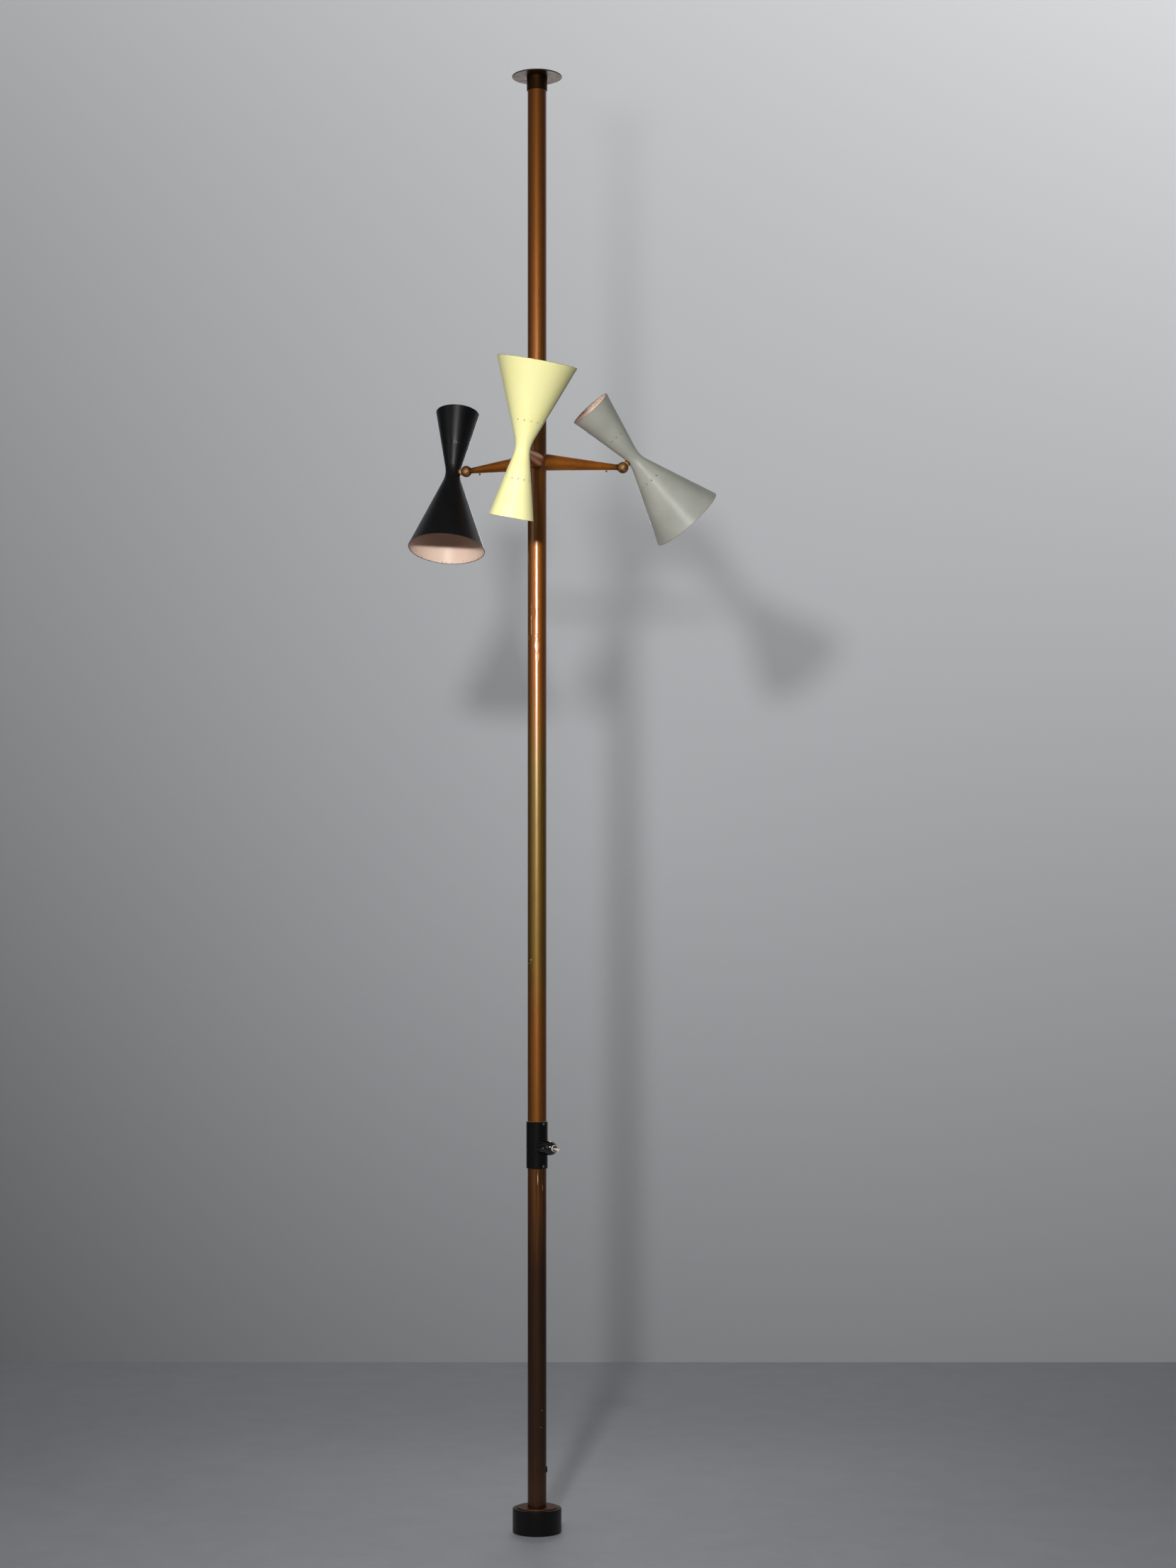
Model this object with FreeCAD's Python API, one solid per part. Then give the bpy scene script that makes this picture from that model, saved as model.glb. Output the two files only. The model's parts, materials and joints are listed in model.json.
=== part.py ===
import FreeCAD, Part
import math
import os

# Tension pole lamp: a brass tube jammed between floor and ceiling, with three
# arms at one height, each carrying a double-cone shade on a ball swivel.
# Millimetres and degrees. +Z is up, +X is right and -Y is towards the viewer.
# The origin is the centre of the foot's underside, on the pole's axis.

Vec = FreeCAD.Vector
Rot = FreeCAD.Rotation
Place = FreeCAD.Placement
X_AXIS = Vec(1, 0, 0)
Y_AXIS = Vec(0, 1, 0)
Z_AXIS = Vec(0, 0, 1)

# ---- Fits -------------------------------------------------------------
SEAT_GAP = 0.05          # radial, pieces pressed or screwed together
RUN_GAP = 0.05           # radial, a shaft turning in its bore
SLIDE_GAP = 0.3          # between faces that pass each other
DRILL_GAP = 0.2          # radial, a through hole round its screw or tube
PAST = 1.0               # how far a cutter runs on past the face it leaves by
DRIVER_SLOT_WIDTH = 0.8  # across the small screws' heads
DRIVER_SLOT_DEPTH = 0.7

# ---- Pole -------------------------------------------------------------
TOTAL_HEIGHT = 3100.0
POLE_DIA = 40.0
POLE_WALL = 2.0
SPIGOT_WALL = 3.0
SPIGOT_LENGTH = 160.0

# ---- Foot -------------------------------------------------------------
FOOT_DIA = 104.0
FOOT_TOP_Z = 53.0
FOOT_TOP_ROUND = 2.5
FOOT_BOTTOM_ROUND = 1.5
SOLE_DIA = 96.0
SOLE_THICK = 3.0
SOLE_PROUD = 1.0         # how far the sole stands below the puck
SOCKET_FLOOR_Z = 16.0    # the pole stands on this floor inside the puck
DISC_DIA = 86.0
DISC_THICK = 3.0
DISC_ROUND = 1.4
PLUG_LENGTH = 25.0
BOLT_DIA = 10.0
BOLT_HEAD_FLATS = 17.0
BOLT_HEAD_THICK = 6.4
BOLT_GRIP = 22.0         # thread inside the plug
WASHER_DIA = 21.0
WASHER_THICK = 2.0
COUNTERBORE_DIA = 24.0
COUNTERBORE_TOP_Z = 12.0

# ---- Cord inlet -------------------------------------------------------
INLET_Z = 134.0
INLET_BORE_DIA = 6.5
GROMMET_WALL = 1.45      # between the cord's bore and the hole in the pole
GROMMET_FLANGE = 1.6     # how far its outer flange reaches past the hole
GROMMET_PROUD = 1.8
GROMMET_INNER_FLANGE = 1.0
GROMMET_INNER_THICK = 1.8

# ---- Switch sleeve and toggle switch ----------------------------------
SLEEVE_BOTTOM_Z = 775.0
SLEEVE_LENGTH = 100.0
SLEEVE_WALL = 2.75
SLEEVE_BEVEL = 0.9
SLEEVE_SCREW_INSET = 5.0     # from each end of the sleeve
POLE_JOINT_RISE = 25.0       # the pole's two lengths meet this far above its lower end
SWITCH_RISE = 45.0           # the switch's axis above its lower end
SLEEVE_SCREW_DIA = 3.0
SLEEVE_SCREW_HEAD_DIA = 5.6
SLEEVE_SCREW_HEAD_DEPTH = 1.5
SWITCH_AZIMUTH = -51.5       # from +X, seen from above
SWITCH_DIA = 30.0
SWITCH_RIM = 0.8             # how far the rim at its root stands out
SWITCH_RIM_HEIGHT = 1.6
SWITCH_STAND = 23.2          # the sleeve's surface to the centre of the dome
SWITCH_WALL = 3.2
SWITCH_NUT_WALL = 1.35
SWITCH_NUT_THICK = 2.8
SWITCH_NUT_ROUND = 0.9
SWITCH_BARREL_DIA = 12.0
SWITCH_BARREL_WALL = 1.2
SWITCH_SHOULDER_RISE = 6.0   # the mechanism's shoulder beyond the centre of the dome
SWITCH_BODY_LENGTH = 25.0
SWITCH_BARREL_INSET = 0.5    # of the barrel's end below the nut's face
HOUSING_SCREW_INSET = 6.0    # before the centre of the dome, on the housing's left
HOUSING_SCREW_DIA = 2.5
HOUSING_SCREW_DEPTH = 6.0    # from the housing's surface to the screw's end
HOUSING_SCREW_HEAD_DIA = 4.4
HOUSING_SCREW_HEAD_PROUD = 1.2
HOUSING_SCREW_HEAD_ROUND = 0.7
HOUSING_SPOT_FACE = 0.3      # depth of the flat that the head sits on
LEVER_DIA = 6.4
LEVER_ROOT_DIA = 4.8
LEVER_LENGTH = 23.0          # from its pivot to its tip
LEVER_PIVOT_RISE = 2.0       # the pivot beyond the mechanism's shoulder
LEVER_HUB_DIA = 6.8
LEVER_TAIL_LENGTH = 4.5
LEVER_TAIL_ROOM = 1.0
LEVER_TRUNNION_DIA = 2.0
LEVER_DROOP = 8.0            # the lever rests this far below the switch's axis
FEED_HOLE_DIA = 10.0         # through sleeve, pole and spigot, behind the switch
FEED_WIRE_DIA = 5.0
FEED_BEND = 13.0             # radius where the wire turns up the pole

# ---- Arms -------------------------------------------------------------
ARM_HEIGHT = 2279.0
ARM_REACH = 198.0            # pole's axis to the centre of the ball
ARM_TUBE_DIA = 10.0
ARM_TUBE_WALL = 1.5
ARM_TUBE_HEAD_LEDGE = 2.0
ARM_TUBE_HEAD_THICK = 2.0
ARM_TUBE_START = 7.0         # its inner end, from the pole's axis
CONE_BASE_STEP = 2.25        # the cone's radius below the pole's, at its surface
CONE_TIP_LAND = 1.25         # the cone's radius above the arm tube's, at its tip
CONE_TIP_INSET = 18.0        # before the centre of the ball
CONE_WALL = 1.5
CONE_TIP_WALL = 3.0
MITRE_GAP = 0.3              # each side, where two cones meet on the pole
FERRULE_FLARE = 0.95         # radial, past the cone's tip
FERRULE_FLARE_LENGTH = 2.2
FERRULE_FLARE_CURVE = 1.2
FERRULE_LIP = 0.9
FERRULE_LIP_ROUND = 0.4
SET_SCREW_INSET = 38.5       # before the centre of the ball
SET_SCREW_DIA = 2.4
SET_SCREW_KNOB_DIA = 4.5
SET_SCREW_NECK = 0.4
HUB_HEIGHT = 34.0
HUB_BORE_DIA = 12.0

# ---- Ball swivel ------------------------------------------------------
BALL_DIA = 24.5
BALL_WALL = 2.25
BALL_SPLIT_BEVEL = 0.35
BALL_THREAD_WALL = 1.5       # of the cap, round the recess for the arm tube's head
BALL_THREAD_DEPTH = 0.85     # of the thread cut in the shell
BALL_THREAD_LENGTH = 1.8
BALL_CAP_FLOOR = 1.5         # the cap's bearing face, before the split
SLOT_LOW = -20.0             # tilt of the neck at each end of the slot
SLOT_HIGH = 70.0
NECK_BOLT_DIA = 6.0
NECK_BOLT_WALL = 1.25
NECK_HEAD_DIA = 12.0
NECK_HEAD_THICK = 2.5
NECK_NUT_FLATS = 10.0
NECK_NUT_THICK = 4.0
NECK_NUT_SEAT = 4.0          # beyond the shade's axis
NECK_THREAD_SPARE = 1.5
COLLAR_DIA = 14.5
COLLAR_LENGTH = 3.75         # the ball's surface to the shade's waist
COLLAR_CUP_DIA = 11.8
COLLAR_FACET_LENGTH = 1.9    # the bright slope on the side of the ball
COLLAR_FACET_ROUND = 1.0
COLLAR_SHOULDER = 0.6        # before the nearest point of the waist
COLLAR_SHOULDER_ROUND = 1.6
COLLAR_SADDLE_DEPTH = 2.2    # how far its sides reach round the waist
COLLAR_SADDLE_STEP = 0.9

# ---- Shade ------------------------------------------------------------
BIG_RIM_DIA = 166.0
BIG_LENGTH = 178.5           # waist to big rim
SMALL_RIM_DIA = 94.0
SMALL_LENGTH = 140.5         # waist to small rim
WAIST_DIA = 32.0
WAIST_CURVE = 59.4           # radius of the arc that joins the two cones
SHADE_WALL = 1.0
VENT_DIA = 2.5
BIG_VENT_COUNT = 15
BIG_VENT_HEIGHT = 57.5       # from the waist
SMALL_VENT_COUNT = 14
SMALL_VENT_HEIGHT = 60.5

# ---- Inside the shade -------------------------------------------------
CARRIER_HALF_HEIGHT = 8.0
CARRIER_GAP = 0.15
NUT_POCKET_DIA = 13.0
NIPPLE_DIA = 10.0
NIPPLE_LENGTH = 8.0
HOLDER_DIA = 24.0
HOLDER_NECK_STEP = 2.5
HOLDER_NECK_LENGTH = 5.0
HOLDER_LENGTH = 38.0
HOLDER_FLOOR = 12.0
HOLDER_NECK_ROUND = 1.0
HOLDER_SHOULDER_LENGTH = 2.5
HOLDER_SHOULDER_ROUND = 1.5
HOLDER_LIP_ROUND = 0.8
BULB_CAP_DIA = 14.0
BULB_DIA = 45.0
BULB_LENGTH = 80.0
BULB_NECK_STEP = 0.75        # the glass past the cap, radial
BULB_SHOULDER_DIA = 36.0
BULB_WALL = 0.8
BULB_CONTACT_DIA = 4.0

# ---- Ceiling end ------------------------------------------------------
CEILING_PLATE_DIA = 106.0
CEILING_PLATE_THICK = 2.2
CEILING_PLATE_ROUND = 0.8
CEILING_PAD_DIA = 100.0
CEILING_PAD_THICK = 1.0
CEILING_COLLAR_WALL = 1.5
CEILING_COLLAR_LENGTH = 28.8
CEILING_COLLAR_BEVEL = 1.0
COLLAR_OVERLAP = 12.0        # pole inside the collar
TENSION_UP = 3.0             # how far the plate can still rise from the pose drawn
ROD_DIA = 12.0
ROD_FLANGE_GAP = 1.0         # radial, inside the pole
ROD_FLANGE_THICK = 6.0
GUIDE_LENGTH = 30.0
GUIDE_INSET = 10.0           # below the pole's top
SPRING_LENGTH = 130.0
SPRING_WIRE = 3.0
SPRING_GAP = 2.5             # radial, inside the pole
SPRING_TURNS = 8
SPRING_GAP_POINTS = 5        # on each of its arcs, to measure its least gap
SPRING_SEAT_THICK = 10.0

# ---- Each arm: azimuth from +X, droop below level, then the swivel's
# ---- turn about the arm, its tilt in the slot and the shade's turn.
ARMS = {
    "right": {"azimuth": 22.0, "droop": 0.0, "turn": 12.0, "tilt": 46.0, "spin": 172.0},
    "left": {"azimuth": 142.0, "droop": 0.0, "turn": 83.0, "tilt": -17.0, "spin": 112.0},
    "front": {"azimuth": 262.0, "droop": 2.8, "turn": -119.0, "tilt": 13.0, "spin": 108.5},
}
ARM_SPACING = 360.0 / len(ARMS)

# ---- Sizes that follow from those above -------------------------------
POLE_R = POLE_DIA / 2
POLE_BORE_R = POLE_R - POLE_WALL
INNER_R = POLE_BORE_R - SEAT_GAP             # what is pressed into the pole
SPIGOT_BORE_R = INNER_R - SPIGOT_WALL
INLET_HOLE_R = INLET_BORE_DIA / 2 + GROMMET_WALL

SLEEVE_R = POLE_R + SEAT_GAP + SLEEVE_WALL
SLEEVE_MIDDLE_Z = SLEEVE_BOTTOM_Z + SLEEVE_LENGTH / 2
POLE_JOINT_Z = SLEEVE_BOTTOM_Z + POLE_JOINT_RISE
SWITCH_Z = SLEEVE_BOTTOM_Z + SWITCH_RISE
SWITCH_R = SWITCH_DIA / 2
SWITCH_BARREL_R = SWITCH_BARREL_DIA / 2
SWITCH_NUT_R = SWITCH_BARREL_R + SEAT_GAP + SWITCH_NUT_WALL
# Distances along the switch's axis, from the pole's axis.
SWITCH_DOME_CENTRE = SLEEVE_R + SWITCH_STAND
SWITCH_FACE = SWITCH_DOME_CENTRE + math.sqrt(SWITCH_R ** 2 - SWITCH_NUT_R ** 2)
SWITCH_SHOULDER = SWITCH_DOME_CENTRE + SWITCH_SHOULDER_RISE
LEVER_PIVOT = SWITCH_SHOULDER + LEVER_PIVOT_RISE

BALL_R = BALL_DIA / 2
BALL_BORE_R = BALL_R - BALL_WALL
ARM_TUBE_R = ARM_TUBE_DIA / 2
ARM_TUBE_HEAD_R = ARM_TUBE_R + ARM_TUBE_HEAD_LEDGE
CONE_BASE_R = POLE_R - CONE_BASE_STEP
CONE_TIP_R = ARM_TUBE_R + CONE_TIP_LAND
# Distances along the arm, from the pole's axis.
CONE_TIP_REACH = ARM_REACH - CONE_TIP_INSET
SET_SCREW_REACH = ARM_REACH - SET_SCREW_INSET

# Inside the ball, distances along the arm from the ball's centre.
BALL_RECESS_R = ARM_TUBE_HEAD_R + SLIDE_GAP
BALL_THREAD_R = BALL_RECESS_R + BALL_THREAD_WALL + SEAT_GAP
BALL_SPLIT = -math.sqrt(BALL_BORE_R ** 2 - (BALL_THREAD_R - BALL_THREAD_DEPTH) ** 2)
BALL_CAP_WALL_END = BALL_SPLIT - BALL_CAP_FLOOR

NECK_BOLT_R = NECK_BOLT_DIA / 2
WAIST_R = WAIST_DIA / 2
NECK_REACH = BALL_R + COLLAR_LENGTH + WAIST_R    # the ball's centre to the shade's axis

PLATE_UNDERSIDE_Z = TOTAL_HEIGHT - CEILING_PAD_THICK - CEILING_PLATE_THICK
CEILING_COLLAR_BOTTOM_Z = PLATE_UNDERSIDE_Z - CEILING_COLLAR_LENGTH
POLE_TOP_Z = CEILING_COLLAR_BOTTOM_Z + COLLAR_OVERLAP
GUIDE_BOTTOM_Z = POLE_TOP_Z - GUIDE_INSET - GUIDE_LENGTH
ROD_FLANGE_TOP_Z = GUIDE_BOTTOM_Z - TENSION_UP
SPRING_TOP_Z = ROD_FLANGE_TOP_Z - ROD_FLANGE_THICK
SPRING_BOTTOM_Z = SPRING_TOP_Z - SPRING_LENGTH


# ---- Shape helpers ----------------------------------------------------
def cylinder(radius, low, high, axis=Z_AXIS):
    """A cylinder about an axis through the origin, from low to high along it."""
    return Part.makeCylinder(radius, high - low, axis * low, axis)


def tube(outer_r, inner_r, low, high, axis=Z_AXIS):
    """A straight tube about an axis through the origin."""
    return cylinder(outer_r, low, high, axis).cut(cylinder(inner_r, low, high, axis))


def ball(radius, centre=0.0):
    """A sphere centred on the X axis."""
    return Part.makeSphere(radius, Vec(centre, 0, 0), X_AXIS)


def rounded_wire(corners):
    """A closed wire through (x, z) corners; a third number rounds that corner."""
    starts, ends, edges = [], [], []
    count = len(corners)
    for i, corner in enumerate(corners):
        here = Vec(corner[0], 0, corner[1])
        before = Vec(corners[i - 1][0], 0, corners[i - 1][1]) - here
        after = Vec(corners[(i + 1) % count][0], 0, corners[(i + 1) % count][1]) - here
        before.normalize()
        after.normalize()
        radius = corner[2] if len(corner) > 2 else 0.0
        if radius == 0.0:
            starts.append(here)
            ends.append(here)
            continue
        half = before.getAngle(after) / 2
        inward = before + after
        inward.normalize()
        first = here + before * (radius / math.tan(half))
        last = here + after * (radius / math.tan(half))
        middle = here + inward * (radius / math.sin(half) - radius)
        edges.append(Part.Arc(first, middle, last).toShape())
        starts.append(first)
        ends.append(last)
    for i in range(count):
        edges.append(Part.LineSegment(ends[i], starts[(i + 1) % count]).toShape())
    return Part.Wire(Part.__sortEdges__(edges))


def turned(corners, axis=Z_AXIS):
    """A lathe-turned solid from (radius, height) corners about the Z or X axis."""
    solid = Part.Face(rounded_wire(corners)).revolve(Vec(), Z_AXIS, 360)
    if axis == X_AXIS:
        solid = solid.transformed(Rot(Y_AXIS, 90).toMatrix())
    return Part.Solid(solid.Shells[0]) if solid.ShapeType != "Solid" else solid


def hexagon(flats, low, high, axis=Z_AXIS):
    """A hexagonal prism, such as a bolt's head."""
    radius = flats / math.sqrt(3)
    ring = [Vec(radius * math.cos(math.pi * k / 3), radius * math.sin(math.pi * k / 3), low)
            for k in range(7)]
    prism = Part.Face(Part.makePolygon(ring)).extrude(Z_AXIS * (high - low))
    if axis == X_AXIS:
        prism = prism.transformed(Rot(Y_AXIS, 90).toMatrix())
    return prism


def driver_slot(head_dia, top, axis=Z_AXIS):
    """The cutter for the slot across a screw's head whose top is at a height."""
    corner = Vec(-head_dia / 2, -DRIVER_SLOT_WIDTH / 2, top - DRIVER_SLOT_DEPTH)
    slot = Part.makeBox(head_dia, DRIVER_SLOT_WIDTH, DRIVER_SLOT_DEPTH + PAST, corner)
    if axis == X_AXIS:
        slot = slot.transformed(Rot(Y_AXIS, 90).toMatrix())
    return slot


def placed(shape, placement):
    """The shape moved to a placement."""
    return shape.transformed(placement.toMatrix())


# ---- Places -----------------------------------------------------------
def arm_place(arm):
    """Origin on the pole's axis at the arms' height, +X out along the arm."""
    rotation = Rot(Z_AXIS, arm["azimuth"]).multiply(Rot(Y_AXIS, arm["droop"]))
    return Place(Vec(0, 0, ARM_HEIGHT), rotation)


def ball_place(arm):
    """Origin at the ball's centre, +X out along the arm, the slot in its XZ plane."""
    return arm_place(arm).multiply(Place(Vec(ARM_REACH, 0, 0), Rot(X_AXIS, arm["turn"])))


def neck_place(arm):
    """Origin at the ball's centre, +X along the neck."""
    return ball_place(arm).multiply(Place(Vec(), Rot(Y_AXIS, -arm["tilt"])))


def head_place(arm):
    """As the neck's, turned so that +Z is the way the shade's big cone opens."""
    return neck_place(arm).multiply(Place(Vec(), Rot(X_AXIS, arm["spin"])))


def switch_place():
    """Origin on the pole's axis at the switch's height, +X out through the switch."""
    return Place(Vec(0, 0, SWITCH_Z), Rot(Z_AXIS, SWITCH_AZIMUTH))


def sleeve_screw_places():
    """One place for each sleeve screw, as the switch's but near the sleeve's ends."""
    heights = (SLEEVE_BOTTOM_Z + SLEEVE_SCREW_INSET,
               SLEEVE_BOTTOM_Z + SLEEVE_LENGTH - SLEEVE_SCREW_INSET)
    return [Place(Vec(0, 0, z), Rot(Z_AXIS, SWITCH_AZIMUTH)) for z in heights]


# ---- Holes shared by the pieces they pass through ---------------------
def sleeve_screw_holes(radius):
    return [placed(cylinder(radius, SPIGOT_BORE_R - PAST, SLEEVE_R + PAST, X_AXIS), place)
            for place in sleeve_screw_places()]


def feed_hole():
    return placed(cylinder(FEED_HOLE_DIA / 2, 0, SLEEVE_R + PAST, X_AXIS), switch_place())


def arm_holes(radius):
    return [placed(cylinder(radius, ARM_TUBE_START - PAST, POLE_R + PAST, X_AXIS), arm_place(arm))
            for arm in ARMS.values()]


# ---- Foot -------------------------------------------------------------
def foot_sole():
    return cylinder(SOLE_DIA / 2, 0, SOLE_THICK)


def foot_puck():
    radius = FOOT_DIA / 2
    puck = turned([(0, SOLE_PROUD), (radius, SOLE_PROUD, FOOT_BOTTOM_ROUND),
                   (radius, FOOT_TOP_Z, FOOT_TOP_ROUND), (0, FOOT_TOP_Z)])
    return puck.cut([
        cylinder(SOLE_DIA / 2 + SEAT_GAP, 0, SOLE_THICK),
        cylinder(COUNTERBORE_DIA / 2, 0, COUNTERBORE_TOP_Z),
        cylinder(BOLT_DIA / 2 + DRILL_GAP, 0, FOOT_TOP_Z),
        cylinder(POLE_R + SEAT_GAP, SOCKET_FLOOR_Z, FOOT_TOP_Z + PAST),
    ])


def foot_disc():
    inner, outer = POLE_R + SEAT_GAP, DISC_DIA / 2
    top = FOOT_TOP_Z + DISC_THICK
    return turned([(inner, FOOT_TOP_Z), (outer, FOOT_TOP_Z), (outer, top, DISC_ROUND), (inner, top)])


def foot_plug():
    return tube(INNER_R, BOLT_DIA / 2 + SEAT_GAP, SOCKET_FLOOR_Z, SOCKET_FLOOR_Z + PLUG_LENGTH)


def foot_bolt():
    washer_low = COUNTERBORE_TOP_Z - WASHER_THICK
    head_low = washer_low - BOLT_HEAD_THICK
    bolt = hexagon(BOLT_HEAD_FLATS, head_low, washer_low)
    bolt = bolt.fuse(cylinder(BOLT_DIA / 2, washer_low, SOCKET_FLOOR_Z + BOLT_GRIP))
    washer = tube(WASHER_DIA / 2, BOLT_DIA / 2 + DRILL_GAP, washer_low, COUNTERBORE_TOP_Z)
    return Part.makeCompound([bolt, washer])


# ---- Pole -------------------------------------------------------------
def pole_lower():
    body = tube(POLE_R, POLE_BORE_R, SOCKET_FLOOR_Z, POLE_JOINT_Z)
    inlet = placed(cylinder(INLET_HOLE_R, 0, POLE_R + PAST, X_AXIS), Place(Vec(0, 0, INLET_Z), Rot()))
    return body.cut([inlet] + sleeve_screw_holes(SLEEVE_SCREW_DIA / 2 + DRILL_GAP))


def pole_upper():
    body = tube(POLE_R, POLE_BORE_R, POLE_JOINT_Z, POLE_TOP_Z)
    return body.cut(sleeve_screw_holes(SLEEVE_SCREW_DIA / 2 + DRILL_GAP)
                    + arm_holes(ARM_TUBE_R + DRILL_GAP) + [feed_hole()])


def pole_spigot():
    half = SPIGOT_LENGTH / 2
    body = tube(INNER_R, SPIGOT_BORE_R, SLEEVE_MIDDLE_Z - half, SLEEVE_MIDDLE_Z + half)
    return body.cut(sleeve_screw_holes(SLEEVE_SCREW_DIA / 2 + SEAT_GAP) + [feed_hole()])


def cord_grommet():
    """A rubber bush with a flange on each side of the pole's wall."""
    outer_end, inner_end = POLE_R + GROMMET_PROUD, POLE_BORE_R - GROMMET_INNER_THICK
    flange_r, edge = INLET_HOLE_R + GROMMET_FLANGE, GROMMET_PROUD / 2
    flange = turned([(0, POLE_BORE_R), (flange_r, POLE_BORE_R), (flange_r, outer_end, edge),
                     (0, outer_end)], X_AXIS)
    inner = cylinder(INLET_HOLE_R + GROMMET_INNER_FLANGE, inner_end, POLE_R, X_AXIS)
    neck = cylinder(INLET_HOLE_R - SEAT_GAP, inner_end, outer_end - edge, X_AXIS)
    grommet = flange.cut(cylinder(POLE_R, -FOOT_DIA, FOOT_DIA)).fuse([
        neck, inner.common(cylinder(POLE_BORE_R, -FOOT_DIA, FOOT_DIA))])
    grommet = grommet.cut(cylinder(INLET_BORE_DIA / 2, inner_end - PAST, outer_end + PAST, X_AXIS))
    return placed(grommet.removeSplitter(), Place(Vec(0, 0, INLET_Z), Rot()))


# ---- Switch -----------------------------------------------------------
def switch_sleeve():
    inner, top = POLE_R + SEAT_GAP, SLEEVE_BOTTOM_Z + SLEEVE_LENGTH
    bevel = SLEEVE_BEVEL
    body = turned([(inner, SLEEVE_BOTTOM_Z), (SLEEVE_R - bevel, SLEEVE_BOTTOM_Z),
                   (SLEEVE_R, SLEEVE_BOTTOM_Z + bevel), (SLEEVE_R, top - bevel),
                   (SLEEVE_R - bevel, top), (inner, top)])
    sinks = [placed(sleeve_screw_head(SEAT_GAP, SLEEVE_R + PAST), place)
             for place in sleeve_screw_places()]
    return body.cut(sleeve_screw_holes(SLEEVE_SCREW_DIA / 2 + DRILL_GAP) + sinks + [feed_hole()])


def sleeve_screw_head(gap, top):
    """The countersunk head, or with a gap and a higher top its sink's cutter."""
    low = SLEEVE_R - SLEEVE_SCREW_HEAD_DEPTH
    slope = (SLEEVE_SCREW_HEAD_DIA - SLEEVE_SCREW_DIA) / 2 / SLEEVE_SCREW_HEAD_DEPTH
    top_r = SLEEVE_SCREW_HEAD_DIA / 2 + gap + slope * (top - SLEEVE_R)
    return turned([(0, low - gap), (SLEEVE_SCREW_DIA / 2 + gap, low - gap),
                   (top_r, top), (0, top)], X_AXIS)


def sleeve_screws():
    shank = cylinder(SLEEVE_SCREW_DIA / 2, SPIGOT_BORE_R, SLEEVE_R - SLEEVE_SCREW_HEAD_DEPTH, X_AXIS)
    screw = shank.fuse(sleeve_screw_head(0.0, SLEEVE_R)).removeSplitter()
    screw = screw.cut(driver_slot(SLEEVE_SCREW_HEAD_DIA, SLEEVE_R, X_AXIS))
    return Part.makeCompound([placed(screw, place) for place in sleeve_screw_places()])


def switch_housing():
    inner_r = SWITCH_R - SWITCH_WALL
    body = cylinder(SWITCH_R, 0, SWITCH_DOME_CENTRE, X_AXIS).fuse(ball(SWITCH_R, SWITCH_DOME_CENTRE))
    body = body.common(cylinder(SWITCH_R + PAST, 0, SWITCH_FACE, X_AXIS))
    body = body.fuse(cylinder(SWITCH_R + SWITCH_RIM, 0, SLEEVE_R + SWITCH_RIM_HEIGHT, X_AXIS))
    body = body.cut([
        cylinder(SLEEVE_R, -SWITCH_DIA, SWITCH_DIA),
        cylinder(inner_r, 0, SWITCH_SHOULDER, X_AXIS),
        cylinder(SWITCH_BARREL_R + SEAT_GAP, 0, SWITCH_FACE + PAST, X_AXIS),
        placed(cylinder(HOUSING_SCREW_DIA / 2 + DRILL_GAP, 0, SWITCH_R), housing_screw_place()),
        placed(cylinder(HOUSING_SCREW_HEAD_DIA / 2 + SEAT_GAP, SWITCH_R - HOUSING_SPOT_FACE,
                        SWITCH_R + PAST), housing_screw_place()),
    ])
    return placed(body, switch_place())


def housing_screw_place():
    """In the switch's frame: origin on its axis, +Z out through the housing's left side."""
    return Place(Vec(SWITCH_DOME_CENTRE - HOUSING_SCREW_INSET, 0, 0), Rot(X_AXIS, 90))


def housing_screw():
    """Holds the housing on the switch's mechanism."""
    low, seat = SWITCH_R - HOUSING_SCREW_DEPTH, SWITCH_R - HOUSING_SPOT_FACE
    shank_r, head_r = HOUSING_SCREW_DIA / 2, HOUSING_SCREW_HEAD_DIA / 2
    top = SWITCH_R + HOUSING_SCREW_HEAD_PROUD
    screw = turned([(0, low), (shank_r, low), (shank_r, seat), (head_r, seat),
                    (head_r, top, HOUSING_SCREW_HEAD_ROUND), (0, top)])
    screw = screw.cut(driver_slot(HOUSING_SCREW_HEAD_DIA, top))
    return placed(screw, switch_place().multiply(housing_screw_place()))


def switch_body():
    base = SWITCH_SHOULDER - SWITCH_BODY_LENGTH
    front = SWITCH_FACE + SWITCH_NUT_THICK - SWITCH_BARREL_INSET
    radius = SWITCH_R - SWITCH_WALL - SEAT_GAP
    body = cylinder(radius, base, SWITCH_SHOULDER, X_AXIS)
    body = body.fuse(cylinder(SWITCH_BARREL_R, SWITCH_SHOULDER, front, X_AXIS))
    bore_low = LEVER_PIVOT - LEVER_TAIL_LENGTH - LEVER_TAIL_ROOM
    bore = cylinder(SWITCH_BARREL_R - SWITCH_BARREL_WALL, bore_low, front, X_AXIS)
    trunnions = placed(cylinder(LEVER_TRUNNION_DIA / 2 + RUN_GAP, -SWITCH_R, SWITCH_R, Y_AXIS),
                       Place(Vec(LEVER_PIVOT, 0, 0), Rot()))
    screw_hole = placed(cylinder(HOUSING_SCREW_DIA / 2 + SEAT_GAP, SWITCH_R - HOUSING_SCREW_DEPTH,
                                 SWITCH_R), housing_screw_place())
    return placed(body.cut([bore, trunnions, screw_hole]), switch_place())


def switch_nut():
    inner, outer = SWITCH_BARREL_R + SEAT_GAP, SWITCH_NUT_R
    end = SWITCH_FACE + SWITCH_NUT_THICK
    nut = turned([(inner, SWITCH_FACE), (outer, SWITCH_FACE), (outer, end, SWITCH_NUT_ROUND),
                  (inner, end)], X_AXIS)
    return placed(nut, switch_place())


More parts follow.
